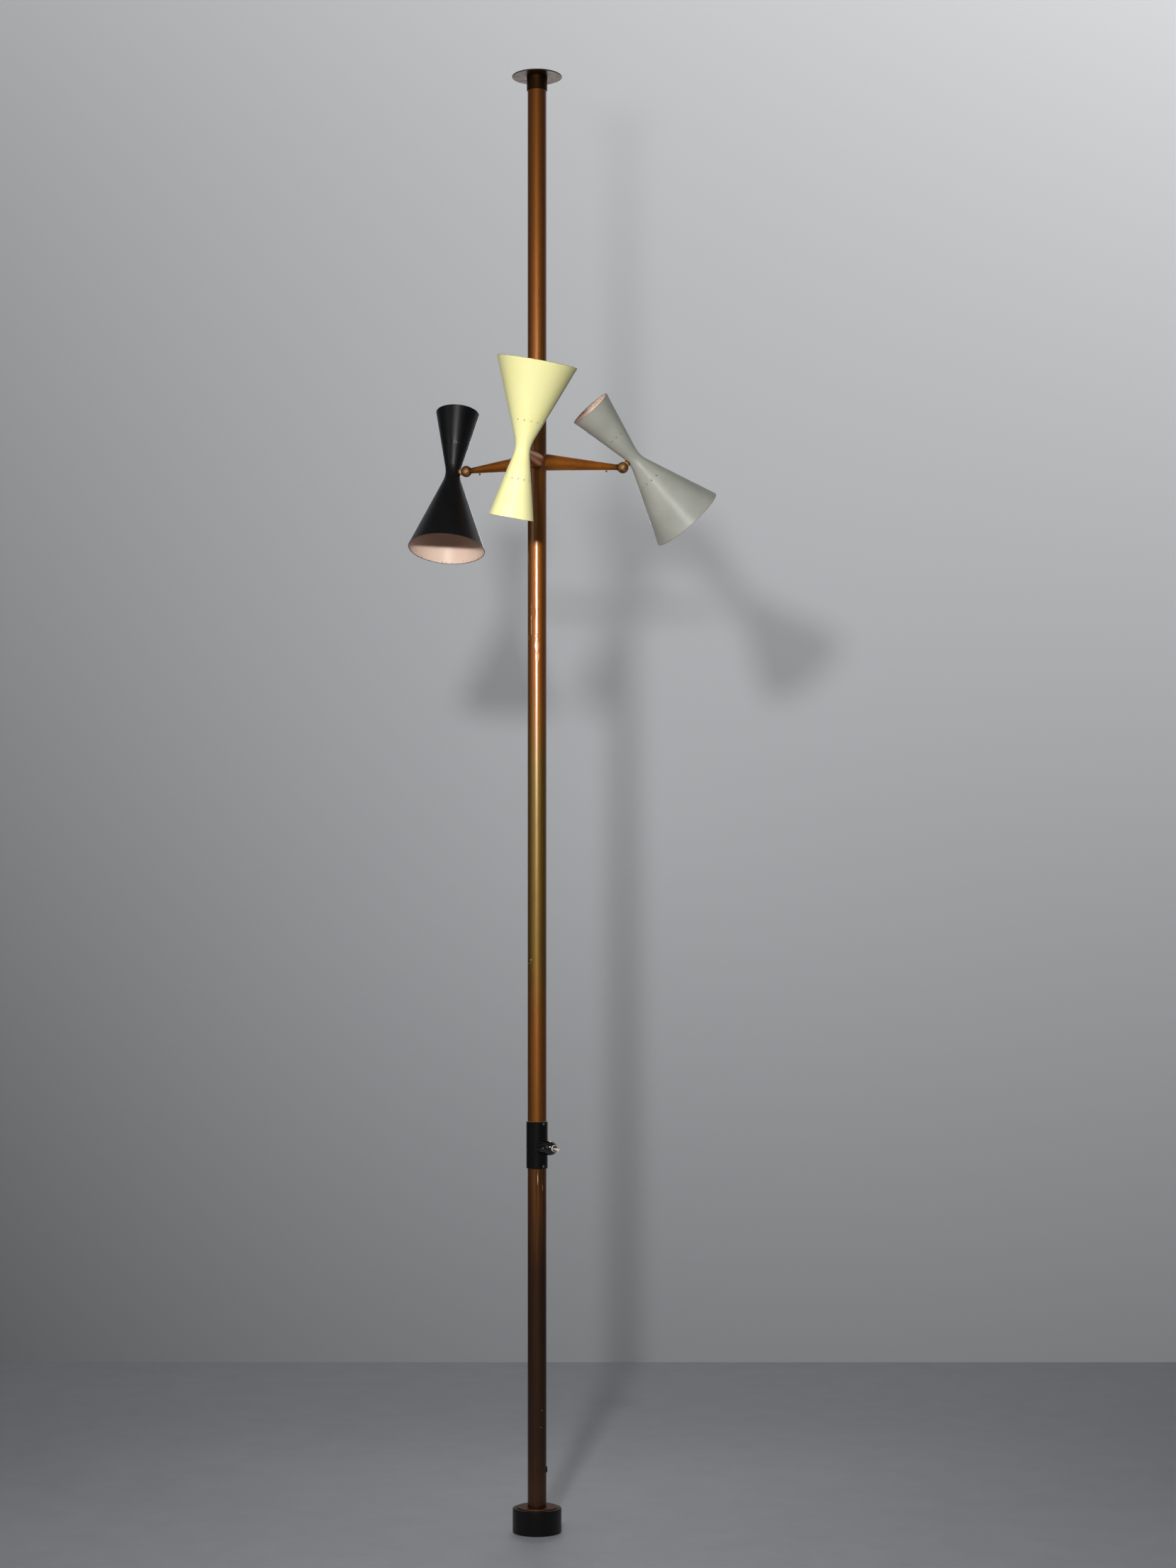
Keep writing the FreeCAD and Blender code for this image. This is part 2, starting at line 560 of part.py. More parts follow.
def switch_lever():
    """The toggle: tapered rod with a round tip, on a hub with two trunnions."""
    tip_r = LEVER_DIA / 2
    rod_end = LEVER_LENGTH - tip_r
    lever = Part.makeCone(LEVER_ROOT_DIA / 2, tip_r, rod_end, Vec(), X_AXIS)
    lever = lever.fuse([
        ball(tip_r, rod_end),
        cylinder(LEVER_HUB_DIA / 2, -LEVER_HUB_DIA / 2, LEVER_HUB_DIA / 2, Y_AXIS),
        cylinder(LEVER_TRUNNION_DIA / 2, -SWITCH_BARREL_R, SWITCH_BARREL_R, Y_AXIS),
        cylinder(LEVER_TRUNNION_DIA / 2, -LEVER_TAIL_LENGTH, 0, X_AXIS),
    ]).removeSplitter()
    pivot = Place(Vec(LEVER_PIVOT, 0, 0), Rot(Y_AXIS, LEVER_DROOP))
    return placed(lever, switch_place().multiply(pivot))


def feed_wire():
    """The lead from the switch, through the feed hole and up the pole to the hub."""
    start = SWITCH_SHOULDER - SWITCH_BODY_LENGTH
    rise = ARM_HEIGHT - HUB_HEIGHT / 2 - SWITCH_Z
    turn_side = FEED_BEND * (1 - math.sqrt(0.5))
    path = Part.Wire([
        Part.LineSegment(Vec(start, 0, 0), Vec(FEED_BEND, 0, 0)).toShape(),
        Part.Arc(Vec(FEED_BEND, 0, 0), Vec(turn_side, 0, turn_side), Vec(0, 0, FEED_BEND)).toShape(),
        Part.LineSegment(Vec(0, 0, FEED_BEND), Vec(0, 0, rise)).toShape(),
    ])
    section = Part.Wire(Part.makeCircle(FEED_WIRE_DIA / 2, Vec(start, 0, 0), X_AXIS))
    return placed(path.makePipeShell([section], True, False), switch_place())


# ---- Arms -------------------------------------------------------------
def arm_hub():
    low, high = ARM_HEIGHT - HUB_HEIGHT / 2, ARM_HEIGHT + HUB_HEIGHT / 2
    return tube(INNER_R, HUB_BORE_DIA / 2, low, high).cut(arm_holes(ARM_TUBE_R + SEAT_GAP))


def arm_tube(arm):
    """A hollow bolt: it screws into the hub, and its head holds the ball's cap."""
    head_low = ARM_REACH + BALL_CAP_WALL_END + DRILL_GAP
    head_high = head_low + ARM_TUBE_HEAD_THICK
    body = cylinder(ARM_TUBE_R, ARM_TUBE_START, head_high, X_AXIS)
    body = body.fuse(cylinder(ARM_TUBE_HEAD_R, head_low, head_high, X_AXIS))
    body = body.cut(cylinder(ARM_TUBE_R - ARM_TUBE_WALL, 0, ARM_REACH, X_AXIS))
    return placed(body, arm_place(arm))


def cone_radius(reach):
    """Outside radius of the arm's cone at a reach from the pole's axis."""
    share = (reach - POLE_R) / (CONE_TIP_REACH - POLE_R)
    return CONE_BASE_R + (CONE_TIP_R - CONE_BASE_R) * share


def arm_sector():
    """The space that one arm's cone may fill, between its neighbours' mitre planes."""
    half = math.radians(ARM_SPACING / 2)
    tip = MITRE_GAP / math.sin(half)
    side = (ARM_REACH - tip) * math.tan(half)
    corners = [Vec(tip, 0, -POLE_DIA), Vec(ARM_REACH, -side, -POLE_DIA), Vec(ARM_REACH, side, -POLE_DIA)]
    return Part.Face(Part.makePolygon(corners + corners[:1])).extrude(Z_AXIS * 2 * POLE_DIA)


def arm_cone(arm):
    start = POLE_R / 2
    hollow_end = CONE_TIP_REACH - CONE_TIP_WALL
    body = turned([(0, start), (cone_radius(start), start),
                   (cone_radius(CONE_TIP_REACH), CONE_TIP_REACH), (0, CONE_TIP_REACH)], X_AXIS)
    body = body.cut([
        turned([(0, start), (cone_radius(start) - CONE_WALL, start),
                (cone_radius(hollow_end) - CONE_WALL, hollow_end), (0, hollow_end)], X_AXIS),
        cylinder(ARM_TUBE_R + DRILL_GAP, 0, ARM_REACH, X_AXIS),
        placed(cylinder(SET_SCREW_DIA / 2 + SEAT_GAP, 0, CONE_BASE_R), set_screw_place()),
    ]).common(arm_sector())
    pole = cylinder(POLE_R, ARM_HEIGHT - POLE_DIA, ARM_HEIGHT + POLE_DIA)
    return placed(body, arm_place(arm)).cut(pole)


def arm_ferrule(arm):
    """The ring nut that holds the cone, cupped where the ball bears on it."""
    inner, outer, flare = ARM_TUBE_R + SEAT_GAP, CONE_TIP_R, CONE_TIP_R + FERRULE_FLARE
    seat_r = BALL_R + SLIDE_GAP
    rim = ARM_REACH - math.sqrt(seat_r ** 2 - flare ** 2)
    body = turned([
        (inner, CONE_TIP_REACH), (outer, CONE_TIP_REACH),
        (outer, rim - FERRULE_FLARE_LENGTH, FERRULE_FLARE_CURVE),
        (flare, rim - FERRULE_LIP, FERRULE_LIP_ROUND), (flare, rim), (inner, rim),
    ], X_AXIS)
    return placed(body.cut(ball(seat_r, ARM_REACH)), arm_place(arm))


def arm_ferrules():
    return Part.makeCompound([arm_ferrule(arm) for arm in ARMS.values()])


def set_screw_place():
    """Origin on the arm's axis, +Z straight out of the cone's underside."""
    return Place(Vec(SET_SCREW_REACH, 0, 0), Rot(X_AXIS, 180))


def arm_set_screws():
    knob_r = SET_SCREW_KNOB_DIA / 2
    knob_centre = cone_radius(SET_SCREW_REACH) + SET_SCREW_NECK + knob_r
    screw = cylinder(SET_SCREW_DIA / 2, ARM_TUBE_R, knob_centre)
    screw = screw.fuse(Part.makeSphere(knob_r, Vec(0, 0, knob_centre)))
    return Part.makeCompound([placed(screw, arm_place(arm).multiply(set_screw_place()))
                              for arm in ARMS.values()])


# ---- Ball swivel ------------------------------------------------------
def bevel_at_split(side):
    """A ring that bevels the ball's edge on one side of its split."""
    edge_r = math.sqrt(BALL_R ** 2 - BALL_SPLIT ** 2)
    inner = edge_r - BALL_SPLIT_BEVEL
    return turned([(inner, BALL_SPLIT), (edge_r + PAST, BALL_SPLIT),
                   (edge_r + PAST, BALL_SPLIT + side * (PAST + BALL_SPLIT_BEVEL))], X_AXIS)


def ball_cap(arm):
    """The arm side of the ball: it turns on the arm's tube behind the tube's head."""
    thread_end = BALL_SPLIT + BALL_THREAD_LENGTH
    body = ball(BALL_R).common(cylinder(BALL_R, -BALL_R, BALL_SPLIT, X_AXIS))
    body = body.cut(bevel_at_split(-1))
    body = body.fuse(cylinder(BALL_THREAD_R - SEAT_GAP, BALL_CAP_WALL_END, thread_end, X_AXIS))
    body = body.cut([cylinder(BALL_RECESS_R, BALL_CAP_WALL_END, 0, X_AXIS),
                     cylinder(ARM_TUBE_R + RUN_GAP, -BALL_R, 0, X_AXIS)])
    return placed(body.removeSplitter(), ball_place(arm))


def ball_shell(arm):
    """The outer side of the ball, hollow, with the slot that the neck tilts in."""
    body = ball(BALL_R).cut([
        ball(BALL_BORE_R),
        cylinder(BALL_R, -BALL_DIA, BALL_SPLIT, X_AXIS),
        cylinder(BALL_THREAD_R, BALL_SPLIT, 0, X_AXIS),
        bevel_at_split(1),
        ball_slot(),
    ])
    return placed(body, ball_place(arm))


def ball_slot():
    """The slot's cutter: a wedge with a round end at each limit of the tilt."""
    half_width = NECK_BOLT_R + SLIDE_GAP
    ends = [placed(cylinder(half_width, 0, BALL_DIA, X_AXIS), Place(Vec(), Rot(Y_AXIS, -tilt)))
            for tilt in (SLOT_LOW, SLOT_HIGH)]
    rays = [Vec(BALL_DIA * math.cos(math.radians(t)), -half_width, BALL_DIA * math.sin(math.radians(t)))
            for t in (SLOT_LOW, (SLOT_LOW + SLOT_HIGH) / 2, SLOT_HIGH)]
    centre = Vec(0, -half_width, 0)
    wedge = Part.Face(Part.makePolygon([centre] + rays + [centre])).extrude(Y_AXIS * 2 * half_width)
    return wedge.fuse(ends)


def neck_bolt(arm):
    """A hollow bolt: a domed head inside the ball, its shank out through the slot."""
    dome_r = BALL_BORE_R - SLIDE_GAP
    dome = ball(dome_r).cut(ball(dome_r - NECK_HEAD_THICK))
    dome = dome.common(cylinder(NECK_HEAD_DIA / 2, 0, BALL_R, X_AXIS))
    end = NECK_REACH + NECK_NUT_SEAT + NECK_NUT_THICK + NECK_THREAD_SPARE
    body = dome.fuse(cylinder(NECK_BOLT_R, dome_r - NECK_HEAD_THICK / 2, end, X_AXIS))
    body = body.cut(cylinder(NECK_BOLT_R - NECK_BOLT_WALL, 0, end, X_AXIS))
    return placed(body.removeSplitter(), neck_place(arm))


def neck_nut(arm):
    low = NECK_REACH + NECK_NUT_SEAT + RUN_GAP
    nut = hexagon(NECK_NUT_FLATS, low, low + NECK_NUT_THICK, X_AXIS)
    nut = nut.cut(cylinder(NECK_BOLT_R + SEAT_GAP, 0, NECK_REACH + BALL_R, X_AXIS))
    return placed(nut, neck_place(arm))


def swivel_collar(arm):
    """The bead between ball and shade: cupped over the ball, saddled on the waist."""
    bore, outer = NECK_BOLT_R + RUN_GAP, COLLAR_DIA / 2
    cup_r = BALL_R + SLIDE_GAP
    cup_low = math.sqrt(cup_r ** 2 - (COLLAR_CUP_DIA / 2) ** 2)
    waist_near = NECK_REACH - WAIST_R
    saddle = waist_near + COLLAR_SADDLE_DEPTH
    body = turned([
        (bore, cup_low), (COLLAR_CUP_DIA / 2, cup_low),
        (outer, cup_low + COLLAR_FACET_LENGTH, COLLAR_FACET_ROUND),
        (outer, waist_near - COLLAR_SHOULDER, COLLAR_SHOULDER_ROUND),
        (outer - COLLAR_SADDLE_STEP, saddle), (bore, saddle),
    ], X_AXIS)
    return placed(body.cut([ball(cup_r), shade_solid()]), head_place(arm))


# ---- Shade ------------------------------------------------------------
def shade_side(rim_r, rim_z):
    """Where one cone leaves the waist's arc, for a rim at a radius and height."""
    centre = Vec(WAIST_R + WAIST_CURVE, 0, 0)
    rim = Vec(rim_r, 0, rim_z) - centre
    swing = math.acos(WAIST_CURVE / rim.Length)
    angle = math.atan2(rim.z, rim.x) + math.copysign(swing, rim_z)
    return centre, Vec(math.cos(angle), 0, math.sin(angle))


def shade_profile(inset):
    """Points of the shade's outline, inset from the outside: rim, arc, rim."""
    points = []
    for rim_dia, rim_z in ((BIG_RIM_DIA, BIG_LENGTH), (SMALL_RIM_DIA, -SMALL_LENGTH)):
        centre, outward = shade_side(rim_dia / 2, rim_z)
        rim = Vec(rim_dia / 2 + inset / outward.x, 0, rim_z)
        points.append((rim, centre + outward * (WAIST_CURVE + inset)))
    (big_rim, big_tangent), (small_rim, small_tangent) = points
    return [big_rim, big_tangent, Vec(WAIST_R - inset, 0, 0), small_tangent, small_rim]


def shade_edges(points):
    """Cone, waist arc, cone, as edges in that order."""
    return [Part.LineSegment(points[0], points[1]).toShape(),
            Part.Arc(points[1], points[2], points[3]).toShape(),
            Part.LineSegment(points[3], points[4]).toShape()]


def about_shade_axis(edges):
    """A solid turned from a closed outline about the shade's own axis."""
    solid = Part.Face(Part.Wire(Part.__sortEdges__(edges))).revolve(Vec(), Z_AXIS, 360)
    solid = Part.Solid(solid.Shells[0]) if solid.ShapeType != "Solid" else solid
    return placed(solid, Place(Vec(NECK_REACH, 0, 0), Rot()))


def shade_solid():
    """Everything inside the shade's outer face, to cut what is saddled on it."""
    outer = shade_profile(0.0)
    low, high = Vec(0, 0, outer[4].z), Vec(0, 0, outer[0].z)
    closing = [Part.LineSegment(outer[4], low).toShape(), Part.LineSegment(low, high).toShape(),
               Part.LineSegment(high, outer[0]).toShape()]
    return about_shade_axis(shade_edges(outer) + closing)


def vent_row(count, height, first):
    """Radial drills for one row of vent holes."""
    drills = []
    for k in range(count):
        place = Place(Vec(NECK_REACH, 0, height), Rot(Z_AXIS, first + 360.0 * k / count))
        drills.append(placed(cylinder(VENT_DIA / 2, WAIST_R, BIG_RIM_DIA / 2, X_AXIS), place))
    return drills


def shade(arm):
    outer, inner = shade_profile(0.0), shade_profile(SHADE_WALL)
    rims = [Part.LineSegment(outer[0], inner[0]).toShape(),
            Part.LineSegment(outer[4], inner[4]).toShape()]
    body = about_shade_axis(shade_edges(outer) + shade_edges(inner) + rims)
    bolt_hole = cylinder(NECK_BOLT_R + SLIDE_GAP, BALL_R, NECK_REACH, X_AXIS)
    drills = vent_row(BIG_VENT_COUNT, BIG_VENT_HEIGHT, 180.0)
    drills += vent_row(SMALL_VENT_COUNT, -SMALL_VENT_HEIGHT, 0.0)
    return placed(body.cut([bolt_hole] + drills), head_place(arm))


# ---- Inside the shade -------------------------------------------------
def lamp_carrier(arm):
    """The block in the waist that the neck bolt pulls against, with two nipples."""
    radius = WAIST_R - SHADE_WALL - CARRIER_GAP
    half = CARRIER_HALF_HEIGHT
    body = cylinder(radius, -half, half)
    body = body.fuse(cylinder(NIPPLE_DIA / 2, -half - NIPPLE_LENGTH, half + NIPPLE_LENGTH))
    body = body.cut([cylinder(NECK_BOLT_R + RUN_GAP, -NECK_REACH, NECK_REACH, X_AXIS),
                     cylinder(NUT_POCKET_DIA / 2, NECK_NUT_SEAT, NECK_REACH, X_AXIS)])
    return placed(body, head_place(arm).multiply(Place(Vec(NECK_REACH, 0, 0), Rot())))


def on_both_nipples(piece, arm):
    """The same piece on the big side and, upside down, on the small side."""
    big = head_place(arm).multiply(Place(Vec(NECK_REACH, 0, 0), Rot()))
    small = head_place(arm).multiply(Place(Vec(NECK_REACH, 0, 0), Rot(X_AXIS, 180)))
    return Part.makeCompound([placed(piece, big), placed(piece, small)])


def lampholders(arm):
    low = CARRIER_HALF_HEIGHT
    high, floor = low + HOLDER_LENGTH, low + HOLDER_FLOOR
    step = low + HOLDER_NECK_LENGTH
    outer, neck = HOLDER_DIA / 2, HOLDER_DIA / 2 - HOLDER_NECK_STEP
    thread, socket = NIPPLE_DIA / 2 + SEAT_GAP, BULB_CAP_DIA / 2 + SEAT_GAP
    holder = turned([
        (thread, low), (neck, low, HOLDER_NECK_ROUND), (neck, step, HOLDER_SHOULDER_ROUND),
        (outer, step + HOLDER_SHOULDER_LENGTH, HOLDER_SHOULDER_ROUND),
        (outer, high, HOLDER_LIP_ROUND), (socket, high), (socket, floor), (thread, floor),
    ])
    return on_both_nipples(holder, arm)


def bulb_body(inset, low, cap_top):
    """The bulb's outline, or with an inset its hollow: cap, flared neck, round glass."""
    glass_r = BULB_DIA / 2 - inset
    shoulder_r = BULB_SHOULDER_DIA / 2 - inset
    centre = CARRIER_HALF_HEIGHT + HOLDER_FLOOR + BULB_LENGTH - BULB_DIA / 2
    shoulder_z = centre - math.sqrt(glass_r ** 2 - shoulder_r ** 2)
    neck_r = BULB_CAP_DIA / 2 + BULB_NECK_STEP - inset
    neck = Part.makeCone(neck_r, shoulder_r, shoulder_z - cap_top, Vec(0, 0, cap_top))
    cap = cylinder(BULB_CAP_DIA / 2 - inset, low, cap_top)
    return cap.fuse([neck, Part.makeSphere(glass_r, Vec(0, 0, centre))]).removeSplitter()


def bulbs(arm):
    """Golf-ball bulbs: thin glass on a screw cap with its contact's hole below."""
    low = CARRIER_HALF_HEIGHT + HOLDER_FLOOR
    cap_top = CARRIER_HALF_HEIGHT + HOLDER_LENGTH
    bulb = bulb_body(0.0, low, cap_top).cut([
        bulb_body(BULB_WALL, low + BULB_WALL, cap_top),
        cylinder(BULB_CONTACT_DIA / 2, low, cap_top),
    ])
    return on_both_nipples(bulb, arm)


# ---- Ceiling end ------------------------------------------------------
def ceiling_pad():
    return cylinder(CEILING_PAD_DIA / 2, TOTAL_HEIGHT - CEILING_PAD_THICK, TOTAL_HEIGHT)


def ceiling_plate():
    outer, top = CEILING_PLATE_DIA / 2, TOTAL_HEIGHT - CEILING_PAD_THICK
    return turned([(0, PLATE_UNDERSIDE_Z), (outer, PLATE_UNDERSIDE_Z, CEILING_PLATE_ROUND),
                   (outer, top, CEILING_PLATE_ROUND), (0, top)])


def ceiling_collar():
    inner, outer = POLE_R + SLIDE_GAP, POLE_R + SLIDE_GAP + CEILING_COLLAR_WALL
    low, bevel = CEILING_COLLAR_BOTTOM_Z, CEILING_COLLAR_BEVEL
    return turned([(inner, low), (outer - bevel, low), (outer, low + bevel),
                   (outer, PLATE_UNDERSIDE_Z), (inner, PLATE_UNDERSIDE_Z)])


def plunger_rod():
    """Pushes the ceiling plate up: its flange rides on the spring."""
    rod = cylinder(ROD_DIA / 2, ROD_FLANGE_TOP_Z, PLATE_UNDERSIDE_Z)
    return rod.fuse(cylinder(POLE_BORE_R - ROD_FLANGE_GAP, SPRING_TOP_Z, ROD_FLANGE_TOP_Z))


def guide_bush():
    """Closes the pole's top and guides the plunger; its underside is the upper stop."""
    return tube(INNER_R, ROD_DIA / 2 + RUN_GAP, GUIDE_BOTTOM_Z, GUIDE_BOTTOM_Z + GUIDE_LENGTH)


def spring_seat():
    return cylinder(INNER_R, SPRING_BOTTOM_Z - SPRING_SEAT_THICK, SPRING_BOTTOM_Z)


def arc_leaving(start, heading, end):
    """The arc from start to end that leaves start along the heading."""
    chord = end - start
    apex = start + heading * (chord.Length / 2 / math.cos(heading.getAngle(chord)))
    middle = (start + end) * 0.5
    rise = apex - middle
    radius = (chord.Length / 2) * (apex - start).Length / rise.Length
    sag = radius - math.sqrt(radius ** 2 - (chord.Length / 2) ** 2)
    rise.normalize()
    return Part.Arc(start, middle + rise * sag, end).toShape()


def helix_edges(radius, low, high, turns):
    """A helix drawn as two arcs in each quarter turn, smooth where they meet."""
    steps = 4 * turns
    climb = (high - low) / steps

    def station(k):
        a = math.pi / 2 * k
        heading = Vec(-radius * math.pi / 2 * math.sin(a), radius * math.pi / 2 * math.cos(a), climb)
        heading.normalize()
        return Vec(radius * math.cos(a), radius * math.sin(a), low + climb * k), heading

    edges = []
    for k in range(steps):
        (start, leaving), (end, arriving) = station(k), station(k + 1)
        span = end - start
        both = leaving + arriving
        # Equal arms d with |end - arriving d - start - leaving d| = 2 d.
        square = 4 - both.dot(both)
        arm = (-span.dot(both) + math.sqrt(span.dot(both) ** 2 + square * span.dot(span))) / square
        joint = (start + leaving * arm + end - arriving * arm) * 0.5
        middle_heading = end - arriving * arm - start - leaving * arm
        middle_heading.normalize()
        edges.append(arc_leaving(start, leaving, joint))
        edges.append(arc_leaving(joint, middle_heading, end))
    return edges, station(0)


def print_least_gap(name, edges, near, diameter):
    """Print the least gap of a wound tube to itself, past `near` edges along it."""
    points = [edge.discretize(SPRING_GAP_POINTS)[:-1] for edge in edges]
    spans = [a.distanceToPoint(b) for i, here in enumerate(points) for a in here
             for there in points[i + near:] for b in there]
    print("%s: least gap to itself %.2f mm" % (name, min(spans) - diameter))


def tension_spring():
    """An open compression spring between its seat and the plunger's flange."""
    wire_r = SPRING_WIRE / 2
    coil_r = POLE_BORE_R - SPRING_GAP - wire_r
    low, high = SPRING_BOTTOM_Z + wire_r, SPRING_TOP_Z - wire_r
    edges, (start, heading) = helix_edges(coil_r, low, high, SPRING_TURNS)
    print_least_gap("tension_spring", edges, len(edges) // SPRING_TURNS // 2, SPRING_WIRE)
    section = Part.Wire(Part.makeCircle(wire_r, start, heading))
    return Part.Wire(edges).makePipeShell([section], True, False)


# ---- The whole lamp ---------------------------------------------------
def build():
    """Every node's name and shape."""
    nodes = {
        "foot_sole": foot_sole(),
        "foot_puck": foot_puck(),
        "foot_disc": foot_disc(),
        "foot_plug": foot_plug(),
        "foot_bolt": foot_bolt(),
        "pole_lower": pole_lower(),
        "pole_spigot": pole_spigot(),
        "pole_upper": pole_upper(),
        "cord_grommet": cord_grommet(),
        "switch_sleeve": switch_sleeve(),
        "sleeve_screws": sleeve_screws(),
        "switch_housing": switch_housing(),
        "housing_screw": housing_screw(),
        "switch_body": switch_body(),
        "switch_nut": switch_nut(),
        "switch_lever": switch_lever(),
        "feed_wire": feed_wire(),
        "arm_hub": arm_hub(),
        "arm_ferrules": arm_ferrules(),
        "arm_set_screws": arm_set_screws(),
        "spring_seat": spring_seat(),
        "tension_spring": tension_spring(),
        "guide_bush": guide_bush(),
        "plunger_rod": plunger_rod(),
        "ceiling_collar": ceiling_collar(),
        "ceiling_plate": ceiling_plate(),
        "ceiling_pad": ceiling_pad(),
    }
    for side, arm in ARMS.items():
        nodes["arm_tube_" + side] = arm_tube(arm)
        nodes["arm_cone_" + side] = arm_cone(arm)
        nodes["ball_cap_" + side] = ball_cap(arm)
        nodes["ball_shell_" + side] = ball_shell(arm)
        nodes["neck_bolt_" + side] = neck_bolt(arm)
        nodes["neck_nut_" + side] = neck_nut(arm)
        nodes["swivel_collar_" + side] = swivel_collar(arm)
        nodes["shade_" + side] = shade(arm)
        nodes["lamp_carrier_" + side] = lamp_carrier(arm)
        nodes["lampholders_" + side] = lampholders(arm)
        nodes["bulbs_" + side] = bulbs(arm)
    return nodes


NODES = build()
os.makedirs("parts", exist_ok=True)
for name, shape in NODES.items():
    shape.exportStep("parts/" + name + ".step")
    box = shape.BoundBox
    print("%-22s solids %d  volume %10.1f  z %.1f to %.1f  %s" % (
        name, len(shape.Solids), shape.Volume, box.ZMin, box.ZMax,
        "valid" if shape.isValid() else "NOT VALID"))
print(len(NODES), "nodes")
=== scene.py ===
import json
import math

import bpy
import numpy as np
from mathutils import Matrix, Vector


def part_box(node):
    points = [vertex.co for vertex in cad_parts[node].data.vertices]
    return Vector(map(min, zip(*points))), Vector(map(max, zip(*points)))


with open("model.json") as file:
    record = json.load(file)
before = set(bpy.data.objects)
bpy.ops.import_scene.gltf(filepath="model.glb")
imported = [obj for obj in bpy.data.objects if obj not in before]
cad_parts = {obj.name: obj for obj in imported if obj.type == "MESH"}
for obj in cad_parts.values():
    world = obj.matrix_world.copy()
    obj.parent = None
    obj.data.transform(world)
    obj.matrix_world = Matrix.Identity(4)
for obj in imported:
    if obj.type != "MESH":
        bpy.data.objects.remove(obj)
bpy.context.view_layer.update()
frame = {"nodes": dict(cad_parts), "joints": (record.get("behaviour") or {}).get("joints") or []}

# ---- Foot -------------------------------------------------------------
# A turned steel puck on a moulded rubber sole, stove-enamelled black. A bronzed
# brass disc lies on it round the pole, and a bolt from below draws the pole's
# plug down into the socket.
MM = 0.001
METRE = 1000.0           # millimetres; every patch, grain and length below is in millimetres


def colour(code):
    """An sRGB hex value as the linear colour that the shaders work in."""
    parts = [int(code[i:i + 2], 16) / 255 for i in (1, 3, 5)]
    return [p / 12.92 if p <= 0.04045 else ((p + 0.055) / 1.055) ** 2.4 for p in parts] + [1.0]


def connect(tree, node, inputs):
    """Feed a node: another node or a socket is linked, any other value is written in."""
    for name, value in inputs.items():
        socket = next(s for s in node.inputs if s.enabled and name in (s.name, s.identifier))
        if isinstance(value, bpy.types.Node):
            value = next(s for s in value.outputs if s.enabled)
        if isinstance(value, bpy.types.NodeSocket):
            tree.links.new(value, socket)
        else:
            socket.default_value = value


def add(tree, kind, inputs={}, **settings):
    """Add one node with its settings, and feed its inputs."""
    node = tree.nodes.new(kind)
    for name, value in settings.items():
        setattr(node, name, value)
    connect(tree, node, inputs)
    return node


def new_finish(name, constants):
    """A new material with the shader's constants set: the material, its nodes, its
    shader, and the place of each point in the lamp's own frame."""
    finish = bpy.data.materials.new(name)
    finish.use_nodes = True
    tree = finish.node_tree
    shader = tree.nodes["Principled BSDF"]
    connect(tree, shader, constants)
    place = add(tree, "ShaderNodeTexCoord").outputs["Object"]
    return finish, tree, shader, place


def dress(finish, *nodes):
    """Give the named CAD pieces this finish."""
    for name in nodes:
        for slot in frame["nodes"][name].material_slots:
            slot.material = finish


# Black rubber, pressed in a steel mould: dull and a little grey where it has rubbed.
MOULD_GRAIN = 2.0        # the real grain, about 0.3 mm, is drawn this coarse to show
RUBBED_PATCH = 18.0
rubber, tree, shader, place = new_finish("rubber_black_moulded", {
    "Specular IOR Level": 0.3, "IOR": 1.52})
grain = add(tree, "ShaderNodeTexNoise", {"Vector": place, "Scale": METRE / MOULD_GRAIN, "Detail": 3.0})
rubbed = add(tree, "ShaderNodeTexNoise", {"Vector": place, "Scale": METRE / RUBBED_PATCH, "Detail": 5.0})
shown = add(tree, "ShaderNodeMapRange", {"Value": rubbed, "From Min": 0.45, "From Max": 0.75})
connect(tree, shader, {
    "Base Color": add(tree, "ShaderNodeMix", {
        "Factor": shown, "A": colour("#141413"), "B": colour("#3A3835")}, data_type="RGBA"),
    "Roughness": add(tree, "ShaderNodeMapRange", {"Value": grain, "To Min": 0.68, "To Max": 0.88}),
    "Normal": add(tree, "ShaderNodeBump", {"Height": grain, "Strength": 0.5, "Distance": 0.15 * MM}),
})
dress(rubber, "foot_sole")

# Stoved black enamel on turned steel: deep satin black with the slow waves of
# sprayed paint, a grey bloom where shoes and cloths have passed, and dust low down.
PAINT_WAVE = 9.0
BLOOM_PATCH = 26.0
DUST_TOP, DUST_FULL = 14.0, 1.0
enamel, tree, shader, place = new_finish("enamel_black_stoved_on_steel", {
    "IOR": 1.5, "Specular IOR Level": 0.3, "Coat Weight": 0.1, "Coat Roughness": 0.25})
wave = add(tree, "ShaderNodeTexNoise", {"Vector": place, "Scale": METRE / PAINT_WAVE, "Detail": 2.0})
bloom = add(tree, "ShaderNodeTexNoise", {"Vector": place, "Scale": METRE / BLOOM_PATCH, "Detail": 6.0,
                                         "Roughness": 0.62})
height = add(tree, "ShaderNodeSeparateXYZ", {"Vector": place})
dusty = add(tree, "ShaderNodeMapRange", {"Value": height.outputs["Z"], "From Min": DUST_TOP * MM,
                                         "From Max": DUST_FULL * MM, "To Max": 0.5})
bloomed = add(tree, "ShaderNodeMapRange", {"Value": bloom, "From Min": 0.5, "From Max": 0.72,
                                           "To Max": 0.7})
greyed = add(tree, "ShaderNodeMath", {"Value": dusty, "Value_001": bloomed}, operation="MAXIMUM")
